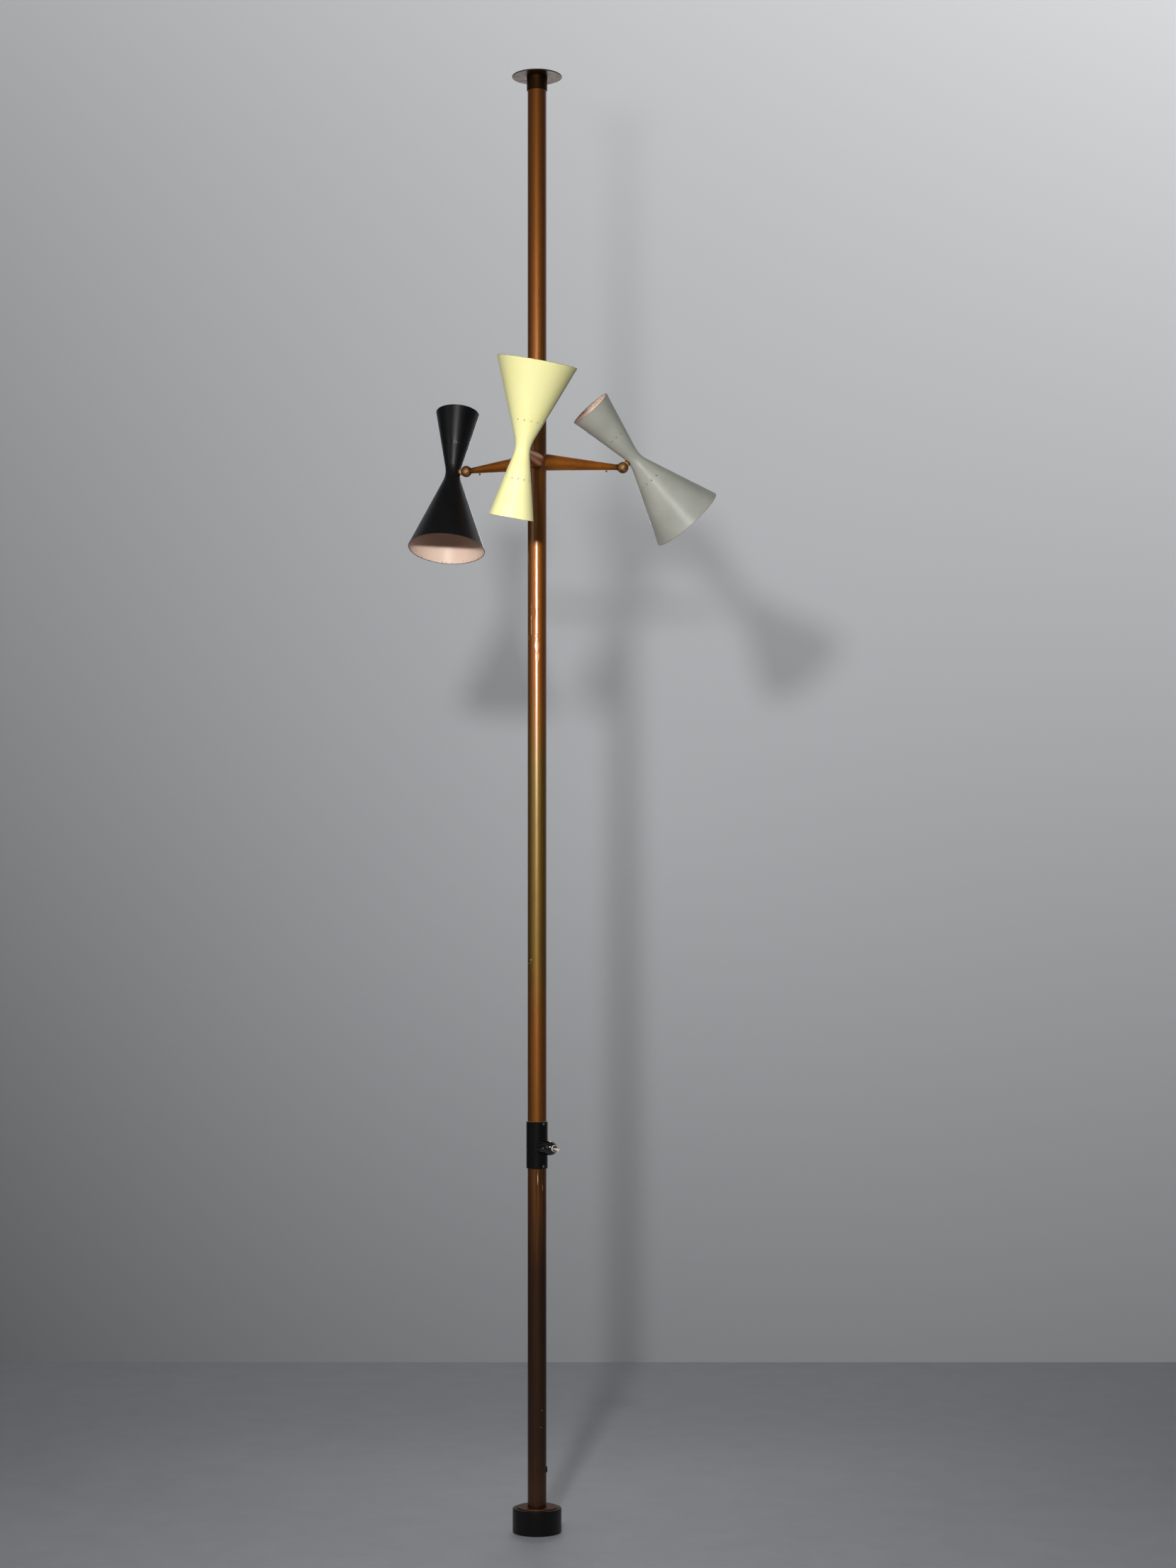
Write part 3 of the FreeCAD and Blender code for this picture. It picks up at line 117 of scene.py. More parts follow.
connect(tree, shader, {
    "Base Color": add(tree, "ShaderNodeMix", {
        "Factor": greyed, "A": colour("#060607"), "B": colour("#1C1B1F")}, data_type="RGBA"),
    "Roughness": add(tree, "ShaderNodeMapRange", {"Value": bloom, "From Min": 0.3, "From Max": 0.7,
                                                  "To Min": 0.3, "To Max": 0.5}),
    "Normal": add(tree, "ShaderNodeBump", {"Height": wave, "Strength": 0.35, "Distance": 0.1 * MM}),
})
dress(enamel, "foot_puck")

RIM_RUB = 3.0            # how far in from its rim a disc is rubbed
LATHE_RING = 2.4         # real turning marks, about 0.2 mm apart, are drawn this coarse
STAIN_PATCH = 14.0


def bronzed_brass(name, dark, light, rim, rim_radius):
    """Brass, chemically bronzed to a reddish brown: a dark warm metal, clouded by the
    bath, ringed faintly by the lathe, and rubbed lighter near its rim."""
    finish, tree, shader, place = new_finish(name, {"Metallic": 1.0})
    stain = add(tree, "ShaderNodeTexNoise", {"Vector": place, "Scale": METRE / STAIN_PATCH, "Detail": 6.0,
                                             "Roughness": 0.6})
    flat = add(tree, "ShaderNodeVectorMath", {"Vector": place, "Vector_001": (1.0, 1.0, 0.0)},
               operation="MULTIPLY")
    radius = add(tree, "ShaderNodeVectorMath", {"Vector": flat}, operation="LENGTH")
    turn = add(tree, "ShaderNodeMath", {"Value": radius, "Value_001": 2 * math.pi * METRE / LATHE_RING},
               operation="MULTIPLY")
    rings = add(tree, "ShaderNodeMath", {"Value": turn}, operation="SINE")
    rubbed = add(tree, "ShaderNodeMapRange", {
        "Value": radius, "From Min": rim_radius - RIM_RUB * MM, "From Max": rim_radius, "To Max": 0.8},
        interpolation_type="SMOOTHSTEP")
    toned = add(tree, "ShaderNodeMix", {"Factor": stain, "A": colour(dark), "B": colour(light)},
                data_type="RGBA")
    connect(tree, shader, {
        "Base Color": add(tree, "ShaderNodeMix", {"Factor": rubbed, "A": toned, "B": colour(rim)},
                          data_type="RGBA"),
        "Roughness": add(tree, "ShaderNodeMapRange", {"Value": stain, "To Min": 0.36, "To Max": 0.6}),
        "Normal": add(tree, "ShaderNodeBump", {"Height": rings, "Strength": 0.25, "Distance": 0.03 * MM}),
    })
    return finish


dress(bronzed_brass("brass_bronzed_reddish", "#3B2318", "#7A5138", "#9B6A4B",
                    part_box("foot_disc")[1].x), "foot_disc")

# Zinc-plated steel: a pale cool metal with soft cloudy patches from the plating bath.
CLOUD_PATCH = 6.0
zinc, tree, shader, place = new_finish("steel_zinc_plated", {"Metallic": 1.0})
cloud = add(tree, "ShaderNodeTexNoise", {"Vector": place, "Scale": METRE / CLOUD_PATCH, "Detail": 4.0})
connect(tree, shader, {
    "Base Color": add(tree, "ShaderNodeMix", {
        "Factor": cloud, "A": colour("#9C9C97"), "B": colour("#D3D3CC")}, data_type="RGBA"),
    "Roughness": add(tree, "ShaderNodeMapRange", {"Value": cloud, "To Min": 0.22, "To Max": 0.46}),
})
dress(zinc, "foot_plug", "foot_bolt")

# ---- Pole -------------------------------------------------------------
# Two lengths of drawn brass tube, 40 mm across, meet on a pressed-in spigot behind
# the switch. They were polished along their length and lacquered a reddish brown,
# and the lower one has gone darker and more streaky. Low down it is also painted
# nearly black as painted shade.
POLE_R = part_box("pole_upper")[1].x
DRAWN_LINE = 3.0         # across; real drawing lines, about 0.3 mm, are drawn this wide
DRAWN_LENGTH = 160.0
TONE_LENGTH = 260.0      # the slow changes of tone up the pole
TARNISH_PATCH = 22.0
# Heights in metres, as the pole's marks are.
OLIVE_FROM, OLIVE_FULL, OLIVE_FADES, OLIVE_GONE = 1.02, 1.3, 1.6, 1.86
PAINTED_SHADE_EASED_TO, PAINTED_SHADE_EASED_FADES = 0.17, 0.27
PAINTED_SHADE_BLUR = 0.2
PAINTED_SHADE_BELOW = 0.84
NO_PAINTED_SHADE = -1.0          # below the floor, so nowhere on the tube


def pole_mark(across, height, half_width, half_height):
    """A mark on the pole: its centre, seen `across` of the pole's radius to the right
    of its axis from the front, and its half sizes, in metres."""
    x = across * POLE_R
    return (x, -math.sqrt(POLE_R ** 2 - x ** 2), height), (half_width, half_width, half_height)


def marks(tree, place, spots):
    """How much of a mark lies on each point, from 0 to 1, over a list of marks."""
    total = 0.0
    for centre, halves in spots:
        near = add(tree, "ShaderNodeMapping", {"Vector": place, "Location": centre, "Scale": halves},
                   vector_type="TEXTURE")
        away = add(tree, "ShaderNodeVectorMath", {"Vector": near}, operation="LENGTH")
        here = add(tree, "ShaderNodeMapRange", {"Value": away, "From Min": 1.0, "From Max": 0.55})
        total = add(tree, "ShaderNodeMath", {"Value": here, "Value_001": total}, operation="MAXIMUM")
    return total


def lacquered_tube(name, red, olive, dark, painted_shade_from, streaked, scratches, dents):
    """Drawn brass tube under tinted lacquer: a broad rusty glow from the brass with a
    narrow bright line on it from the lacquer, drawing lines, tarnish and knocks, and
    painted shade below a given height."""
    finish, tree, shader, place = new_finish(name, {
        "Metallic": 1.0, "Specular Tint": colour("#8A5A34"),
        "Coat Weight": 1.0, "Coat Roughness": 0.29, "Coat IOR": 1.5})
    drawn_place = add(tree, "ShaderNodeMapping", {
        "Vector": place, "Scale": (1.0, 1.0, DRAWN_LINE / DRAWN_LENGTH)})
    drawn = add(tree, "ShaderNodeTexNoise", {"Vector": drawn_place, "Scale": METRE / DRAWN_LINE,
                                             "Detail": 3.0, "Roughness": 0.6})
    tone_place = add(tree, "ShaderNodeMapping", {"Vector": place, "Scale": (2.0, 2.0, 1.0)})
    tone = add(tree, "ShaderNodeTexNoise", {"Vector": tone_place, "Scale": METRE / TONE_LENGTH,
                                            "Detail": 5.0, "Roughness": 0.55})
    tarnish_place = add(tree, "ShaderNodeMapping", {"Vector": place, "Scale": (1.0, 1.0, 0.3)})
    tarnish = add(tree, "ShaderNodeTexNoise", {"Vector": tarnish_place, "Scale": METRE / TARNISH_PATCH,
                                               "Detail": 6.0, "Roughness": 0.62})
    # The lacquer has faded towards olive over the middle of the lamp's height.
    height = add(tree, "ShaderNodeSeparateXYZ", {"Vector": place}).outputs["Z"]
    faded_low = add(tree, "ShaderNodeMapRange", {"Value": height, "From Min": OLIVE_FROM,
                                                 "From Max": OLIVE_FULL},
                    interpolation_type="SMOOTHSTEP")
    faded_high = add(tree, "ShaderNodeMapRange", {"Value": height, "From Min": OLIVE_GONE,
                                                  "From Max": OLIVE_FADES},
                     interpolation_type="SMOOTHSTEP")
    faded = add(tree, "ShaderNodeMath", {"Value": faded_low, "Value_001": faded_high}, operation="MULTIPLY")
    toned = add(tree, "ShaderNodeMath", {"Value": tone, "Value_001": -0.5}, operation="ADD")
    olive_share = add(tree, "ShaderNodeMath", {"Value": toned, "Value_001": 1.6, "Value_002": faded},
                      operation="MULTIPLY_ADD", use_clamp=True)
    lacquer = add(tree, "ShaderNodeMix", {"Factor": olive_share, "A": colour(red), "B": colour(olive)},
                  data_type="RGBA")
    lines = add(tree, "ShaderNodeMapRange", {"Value": drawn, "From Min": 0.35, "From Max": 0.72,
                                             "To Max": streaked})
    spotted = add(tree, "ShaderNodeMapRange", {"Value": tarnish, "From Min": 0.5, "From Max": 0.8,
                                               "To Max": 0.6})
    darker = add(tree, "ShaderNodeMath", {"Value": lines, "Value_001": spotted}, operation="MAXIMUM")
    aged = add(tree, "ShaderNodeMix", {"Factor": darker, "A": lacquer, "B": colour(dark)},
               data_type="RGBA")
    # Painted shade: below some height the tube is painted nearly black, standing in for
    # the light falling off towards the foot, but less so close to the foot.
    uneven = add(tree, "ShaderNodeMath", {"Value": tone, "Value_001": 0.2, "Value_002": height},
                 operation="MULTIPLY_ADD")
    painted_shade_low = add(tree, "ShaderNodeMapRange", {
        "Value": uneven, "From Min": painted_shade_from, "From Max": painted_shade_from - PAINTED_SHADE_BLUR,
        "To Max": 0.9},
        interpolation_type="SMOOTHSTEP")
    painted_shade_eased = add(tree, "ShaderNodeMapRange", {
        "Value": uneven, "From Min": PAINTED_SHADE_EASED_TO, "From Max": PAINTED_SHADE_EASED_FADES, "To Min": 0.45},
        interpolation_type="SMOOTHSTEP")
    painted_shade = add(tree, "ShaderNodeMath", {"Value": painted_shade_low, "Value_001": painted_shade_eased}, operation="MULTIPLY")
    aged = add(tree, "ShaderNodeMix", {"Factor": painted_shade, "A": aged, "B": colour("#452508")},
               data_type="RGBA")
    bare = marks(tree, place, scratches)
    connect(tree, shader, {
        "Base Color": add(tree, "ShaderNodeMix", {
            "Factor": bare, "A": aged, "B": colour("#F2D49A")}, data_type="RGBA"),
        "Roughness": add(tree, "ShaderNodeMapRange", {"Value": tarnish, "To Min": 0.54, "To Max": 0.66}),
    })
    knocks = marks(tree, place, dents)
    ripple = add(tree, "ShaderNodeBump", {"Height": drawn, "Strength": 0.3, "Distance": 0.05 * MM})
    dented = add(tree, "ShaderNodeBump", {"Height": knocks, "Strength": 0.8, "Distance": 0.3 * MM,
                                          "Normal": ripple}, invert=True)
    connect(tree, shader, {"Normal": dented, "Coat Normal": dented})
    return finish


# The scratches and nicks are where the photograph shows them, on the side to the viewer.
upper_scratches = [
    pole_mark(-0.60, 1.944, 0.0011, 0.008),
    pole_mark(-0.60, 1.925, 0.0009, 0.018),
    pole_mark(-0.60, 1.912, 0.0010, 0.005),
    pole_mark(-0.62, 1.969, 0.0006, 0.004),
    pole_mark(-0.87, 1.903, 0.0011, 0.007),
    pole_mark(-0.64, 1.2185, 0.0022, 0.0022),
    pole_mark(-0.73, 1.2115, 0.0019, 0.0016),
]
upper_dents = [
    pole_mark(0.10, 1.9065, 0.007, 0.0035),
    pole_mark(0.02, 1.886, 0.005, 0.010),
    pole_mark(0.05, 1.862, 0.004, 0.012),
    pole_mark(-0.38, 1.955, 0.006, 0.016),
]
lower_scratches = [
    pole_mark(0.10, 0.753, 0.0010, 0.014),
    pole_mark(0.62, 0.735, 0.0008, 0.009),
    pole_mark(0.45, 0.226, 0.0016, 0.0012),
    pole_mark(0.55, 0.262, 0.0016, 0.0010),
]
lower_dents = [pole_mark(0.5, 0.226, 0.004, 0.003), pole_mark(0.55, 0.262, 0.004, 0.003)]
dress(lacquered_tube("brass_tube_lacquered_brown", "#99580F", "#82641C", "#65390C", NO_PAINTED_SHADE,
                     0.4, upper_scratches, upper_dents), "pole_upper")
dress(lacquered_tube("brass_tube_lacquered_dark", "#8C5416", "#7A6228", "#3E220C", PAINTED_SHADE_BELOW,
                     0.9, lower_scratches, lower_dents), "pole_lower")
dress(zinc, "pole_spigot")

# ---- Cord inlet and inner lead ------------------------------------------
# A soft rubber bush is snapped into a hole low in the pole for the mains cord.
# Inside, a two-core lead in a pale PVC sheath runs from the switch up to the arms.
dress(rubber, "cord_grommet")

# PVC sheath, extruded: a soft even yellowed white with a slight waxy gloss.
SHEATH_PATCH = 30.0
pvc, tree, shader, place = new_finish("pvc_sheath_extruded", {"Roughness": 0.5, "IOR": 1.53})
aged = add(tree, "ShaderNodeTexNoise", {"Vector": place, "Scale": METRE / SHEATH_PATCH, "Detail": 3.0})
connect(tree, shader, {"Base Color": add(tree, "ShaderNodeMix", {
    "Factor": aged, "A": colour("#D9D2BC"), "B": colour("#C2B592")}, data_type="RGBA")})
dress(pvc, "feed_wire")

# ---- Switch sleeve ------------------------------------------------------
# A short brass tube over the joint of the pole, bevelled at both ends and sprayed
# with black lacquer. Two countersunk screws in line hold it and both tubes to the
# spigot inside.
SLEEVE_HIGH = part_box("switch_sleeve")[1].z
SLEEVE_BEVEL = 0.9
EDGE_FROM = 1.1 * SLEEVE_BEVEL
EDGE_FULL = 0.2
SLEEVE_MOTTLE = 16.0

# Black air-drying lacquer on brass: glossy black with a faint mottle, and worn
# through to the metal along the sharp upper edge.
sleeve, tree, shader, place = new_finish("lacquer_black_sprayed_on_brass", {
    "IOR": 1.5, "Specular IOR Level": 0.3, "Coat Weight": 0.15, "Coat Roughness": 0.12})
mottle = add(tree, "ShaderNodeTexNoise", {"Vector": place, "Scale": METRE / SLEEVE_MOTTLE, "Detail": 6.0,
                                          "Roughness": 0.65})
height = add(tree, "ShaderNodeSeparateXYZ", {"Vector": place}).outputs["Z"]
at_edge = add(tree, "ShaderNodeMapRange", {"Value": height, "From Min": SLEEVE_HIGH - EDGE_FROM * MM,
                                           "From Max": SLEEVE_HIGH - EDGE_FULL * MM})
patchy = add(tree, "ShaderNodeMapRange", {"Value": mottle, "From Min": 0.4, "From Max": 0.55,
                                          "To Min": 0.6})
worn = add(tree, "ShaderNodeMath", {"Value": at_edge, "Value_001": patchy}, operation="MULTIPLY")
black = add(tree, "ShaderNodeMix", {"Factor": mottle, "A": colour("#030303"), "B": colour("#0A0A0B")},
            data_type="RGBA")
connect(tree, shader, {
    "Base Color": add(tree, "ShaderNodeMix", {
        "Factor": worn, "A": black, "B": colour("#C79A5A")}, data_type="RGBA"),
    "Metallic": worn,
    "Roughness": add(tree, "ShaderNodeMapRange", {"Value": mottle, "To Min": 0.22, "To Max": 0.4}),
    "Normal": add(tree, "ShaderNodeBump", {"Height": mottle, "Strength": 0.2, "Distance": 0.1 * MM}),
})
dress(sleeve, "switch_sleeve")
dress(zinc, "sleeve_screws")

# ---- Toggle switch ------------------------------------------------------
# A tumbler switch stands out through the sleeve: its works in a brown moulding, a
# domed black housing over them held by a side screw and a ring nut, and a short
# round-ended lever in the nut.
DOME_SCUFF = 5.0

# Black phenolic, hot-pressed in a polished mould: near-mirror gloss, a few soft scuffs.
phenolic_black, tree, shader, place = new_finish("phenolic_black_moulded", {
    "IOR": 1.6, "Coat Weight": 0.5, "Coat Roughness": 0.06})
scuff = add(tree, "ShaderNodeTexNoise", {"Vector": place, "Scale": METRE / DOME_SCUFF, "Detail": 6.0,
                                         "Roughness": 0.7})
connect(tree, shader, {
    "Base Color": add(tree, "ShaderNodeMix", {
        "Factor": scuff, "A": colour("#040404"), "B": colour("#100F0F")}, data_type="RGBA"),
    "Roughness": add(tree, "ShaderNodeMapRange", {"Value": scuff, "From Min": 0.4, "From Max": 0.75,
                                                  "To Min": 0.1, "To Max": 0.3}),
})
dress(phenolic_black, "switch_housing")
dress(zinc, "housing_screw")

# White urea plastic, moulded: hard and glossy, yellowed and pinkish with handling.
HANDLED_PATCH = 3.5
urea, tree, shader, place = new_finish("urea_white_moulded", {
    "IOR": 1.55, "Coat Weight": 0.3, "Coat Roughness": 0.1, "Subsurface Weight": 0.08,
    "Subsurface Scale": 1.5 * MM})
handled = add(tree, "ShaderNodeTexNoise", {"Vector": place, "Scale": METRE / HANDLED_PATCH, "Detail": 5.0})
grimy = add(tree, "ShaderNodeMapRange", {"Value": handled, "From Min": 0.42, "From Max": 0.72})
connect(tree, shader, {
    "Base Color": add(tree, "ShaderNodeMix", {
        "Factor": grimy, "A": colour("#F6F0E5"), "B": colour("#E0C8B2")}, data_type="RGBA"),
    "Roughness": add(tree, "ShaderNodeMapRange", {"Value": handled, "To Min": 0.2, "To Max": 0.42}),
})
dress(urea, "switch_nut", "switch_lever")

# Brown phenolic, moulded with wood flour: matt, with fine paler flecks.
FLECK = 1.6
phenolic_brown, tree, shader, place = new_finish("phenolic_brown_moulded", {"IOR": 1.6})
fleck = add(tree, "ShaderNodeTexNoise", {"Vector": place, "Scale": METRE / FLECK, "Detail": 2.0})
flecked = add(tree, "ShaderNodeMapRange", {"Value": fleck, "From Min": 0.58, "From Max": 0.7})
connect(tree, shader, {
    "Base Color": add(tree, "ShaderNodeMix", {
        "Factor": flecked, "A": colour("#2E1C14"), "B": colour("#54372A")}, data_type="RGBA"),
    "Roughness": add(tree, "ShaderNodeMapRange", {"Value": fleck, "To Min": 0.35, "To Max": 0.55}),
})
dress(phenolic_brown, "switch_body")

# ---- Arms ---------------------------------------------------------------
# Three arms leave the pole at one height. Each is a slim threaded tube from a steel
# hub inside the pole, under a spun brass cone that is mitred against its neighbours
# and held by a ferrule, with a small ball-headed screw below for the cone.
SIDES = ("right", "left", "front")
joints = {joint["name"]: joint for joint in frame["joints"]}
ball_centre = {side: Vector(joints["ball_turn_" + side]["pos_m"]) for side in SIDES}
arm_axis = {side: Vector(joints["ball_turn_" + side]["axis"]) for side in SIDES}
ARM_REACH = 198.0        # the pole's axis to the centre of the ball
CONE_PATCH = 20.0
ROOT_CLEAR, ROOT_DARK = 52.0, 20.0
TIP_SHADOW_FROM, TIP_SHADOW_FULL = 160.0, 180.0


def local_frame(origin, z_axis):
    """Location and rotation of a piece's own frame, for a Mapping node that reads into it."""
    return {"Location": origin, "Rotation": z_axis.to_track_quat("Z", "Y").to_euler()}


def amber_cone(side):
    """Spun brass under amber lacquer: clear orange brown along its middle, mottled,
    darker towards the root, and darker at the tip as a painted shadow of the head."""
    finish, tree, shader, place = new_finish("brass_spun_amber_lacquer_" + side, {
        "Metallic": 1.0, "Coat Weight": 0.6, "Coat Roughness": 0.3, "Coat IOR": 1.5})
    root = ball_centre[side] - arm_axis[side] * ARM_REACH * MM
    along = add(tree, "ShaderNodeMapping", {"Vector": place, **local_frame(root, arm_axis[side])},
                vector_type="TEXTURE")
    reach = add(tree, "ShaderNodeSeparateXYZ", {"Vector": along}).outputs["Z"]
    stretched = add(tree, "ShaderNodeMapping", {"Vector": along, "Scale": (1.0, 1.0, 0.4)})
    mottle = add(tree, "ShaderNodeTexNoise", {"Vector": stretched, "Scale": METRE / CONE_PATCH,
                                              "Detail": 7.0, "Roughness": 0.66})
    near_root = add(tree, "ShaderNodeMapRange", {
        "Value": reach, "From Min": ROOT_CLEAR * MM, "From Max": ROOT_DARK * MM, "To Max": 0.4},
        interpolation_type="SMOOTHSTEP")
    # Painted shadow: the tip is darkened for the shadow of the head beside it.
    painted_tip_shadow = add(tree, "ShaderNodeMapRange", {
        "Value": reach, "From Min": TIP_SHADOW_FROM * MM, "From Max": TIP_SHADOW_FULL * MM, "To Max": 0.45},
        interpolation_type="SMOOTHSTEP")
    ends = add(tree, "ShaderNodeMath", {"Value": near_root, "Value_001": painted_tip_shadow}, operation="MAXIMUM")
    dark = add(tree, "ShaderNodeMapRange", {"Value": mottle, "From Min": 0.42, "From Max": 0.8,
                                            "To Max": 0.8})
    darker = add(tree, "ShaderNodeMath", {"Value": ends, "Value_001": dark}, operation="ADD", use_clamp=True)
    connect(tree, shader, {
        "Base Color": add(tree, "ShaderNodeMix", {
            "Factor": darker, "A": colour("#E0872A"), "B": colour("#7B3F14")}, data_type="RGBA"),
        "Roughness": add(tree, "ShaderNodeMapRange", {"Value": mottle, "To Min": 0.42, "To Max": 0.62}),
        "Normal": add(tree, "ShaderNodeBump", {"Height": mottle, "Strength": 0.25, "Distance": 0.12 * MM}),
    })
    return finish


for side in SIDES:
    dress(amber_cone(side), "arm_cone_" + side)
dress(zinc, "arm_hub")


# ---- Ball swivels -------------------------------------------------------
# A hollow brass ball in two screwed halves turns on the end of each arm's tube. A
# domed bolt inside it comes out through a slot, and draws the shade down on a bead
# that is cupped over the ball.
PATINA_SPECK = 2.2
PATINA_PATCH = 9.0
FERRULE_LIP = 12.95      # from the ball's centre: the ferrule's lip is closer than this
BEAD_FACET = 14.2        # from the ball's centre: the bead's edge by the ball is closer
LIP_FADE, LIP_FULL = 0.5, 0.2


def from_nearest_ball(tree, place):
    """Distance of each point from the nearest ball's centre."""
    nearest = 1.0
    for side in SIDES:
        away = add(tree, "ShaderNodeVectorMath", {"Vector": place, "Vector_001": ball_centre[side]},
                   operation="DISTANCE")
        nearest = add(tree, "ShaderNodeMath", {"Value": away, "Value_001": nearest}, operation="MINIMUM")
    return nearest


def aged_brass(name, light, brown, highlight_within=0.0):
    """Turned brass that has lost its lacquer: a brown patina speckled light and dark,
    with a painted highlight on a lip or edge that lies within a distance of the ball's centre."""
    finish, tree, shader, place = new_finish(name, {"Metallic": 1.0})
    speck = add(tree, "ShaderNodeTexNoise", {"Vector": place, "Scale": METRE / PATINA_SPECK, "Detail": 4.0,
                                             "Roughness": 0.7})
    patch = add(tree, "ShaderNodeTexNoise", {"Vector": place, "Scale": METRE / PATINA_PATCH, "Detail": 5.0})
    both = add(tree, "ShaderNodeMath", {"Value": speck, "Value_001": patch}, operation="ADD")
    browned = add(tree, "ShaderNodeMapRange", {"Value": both, "From Min": 0.75, "From Max": 1.2})
    patina = add(tree, "ShaderNodeMix", {"Factor": browned, "A": colour(light), "B": colour(brown)},
                 data_type="RGBA")
    away = from_nearest_ball(tree, place)
    # A painted highlight on the lip or edge at that distance from the nearest ball.
    lip = add(tree, "ShaderNodeMapRange", {"Value": away, "From Min": (highlight_within + LIP_FADE) * MM,
                                           "From Max": (highlight_within - LIP_FULL) * MM, "To Max": 0.9})
    connect(tree, shader, {
        "Base Color": add(tree, "ShaderNodeMix", {
            "Factor": lip, "A": patina, "B": colour("#E9C48E")}, data_type="RGBA"),
        "Roughness": add(tree, "ShaderNodeMapRange", {"Value": speck, "To Min": 0.5, "To Max": 0.78}),
        "Normal": add(tree, "ShaderNodeBump", {"Height": speck, "Strength": 0.3, "Distance": 0.06 * MM}),
    })
    return finish


ball_brass = aged_brass("brass_turned_patinated", "#B4875A", "#6B4A32")
ferrule_brass = aged_brass("brass_turned_ferrule", "#8A5E32", "#5A3A20", highlight_within=FERRULE_LIP)
bead_brass = aged_brass("brass_turned_bead", "#A9764A", "#6B452C", highlight_within=BEAD_FACET)
dress(ferrule_brass, "arm_ferrules")
dress(ball_brass, "arm_set_screws")
for side in SIDES:
    dress(ball_brass, "arm_tube_" + side, "ball_cap_" + side, "ball_shell_" + side)
    dress(ball_brass, "neck_bolt_" + side, "neck_nut_" + side)
    dress(bead_brass, "swivel_collar_" + side)

# ---- Shades -------------------------------------------------------------
# Each shade is two aluminium cones spun as one over a former, narrow at the waist,
# with a row of drilled vents above and below it. They are sprayed satin outside, a
# different colour on each, and a warm off-white inside.
NECK_REACH = 32.0        # the ball's centre to the shade's axis
BIG_LENGTH, SMALL_LENGTH = 178.5, 140.5
ORANGE_PEEL = 2.5
SPRAY_PATCH = 45.0
RUST_SPECK = 4.0
LEAST_WEAR, RIM_WEAR = 0.1, 1.1
SPECKED_BAND = 30.0
FACING_IN = -0.6         # a wall that faces the axis more squarely than this is an inside one
AT_RIM = 0.99            # share of the farthest point's distance from the waist


def shade_axis(side):
    """The waist's centre, and the way that the big cone opens."""
    neck = Vector(joints["shade_turn_" + side]["axis"])
    waist = ball_centre[side] + neck * NECK_REACH * MM
    points = np.array([vertex.co for vertex in frame["nodes"]["shade_" + side].data.vertices])
    reach = np.linalg.norm(points - np.array(waist), axis=1)
    rim = points[reach > AT_RIM * reach.max()]
    across = Vector(np.linalg.svd(rim - rim.mean(axis=0))[2][2])
    return waist, across if across.dot(Vector(rim.mean(axis=0)) - waist) > 0 else -across


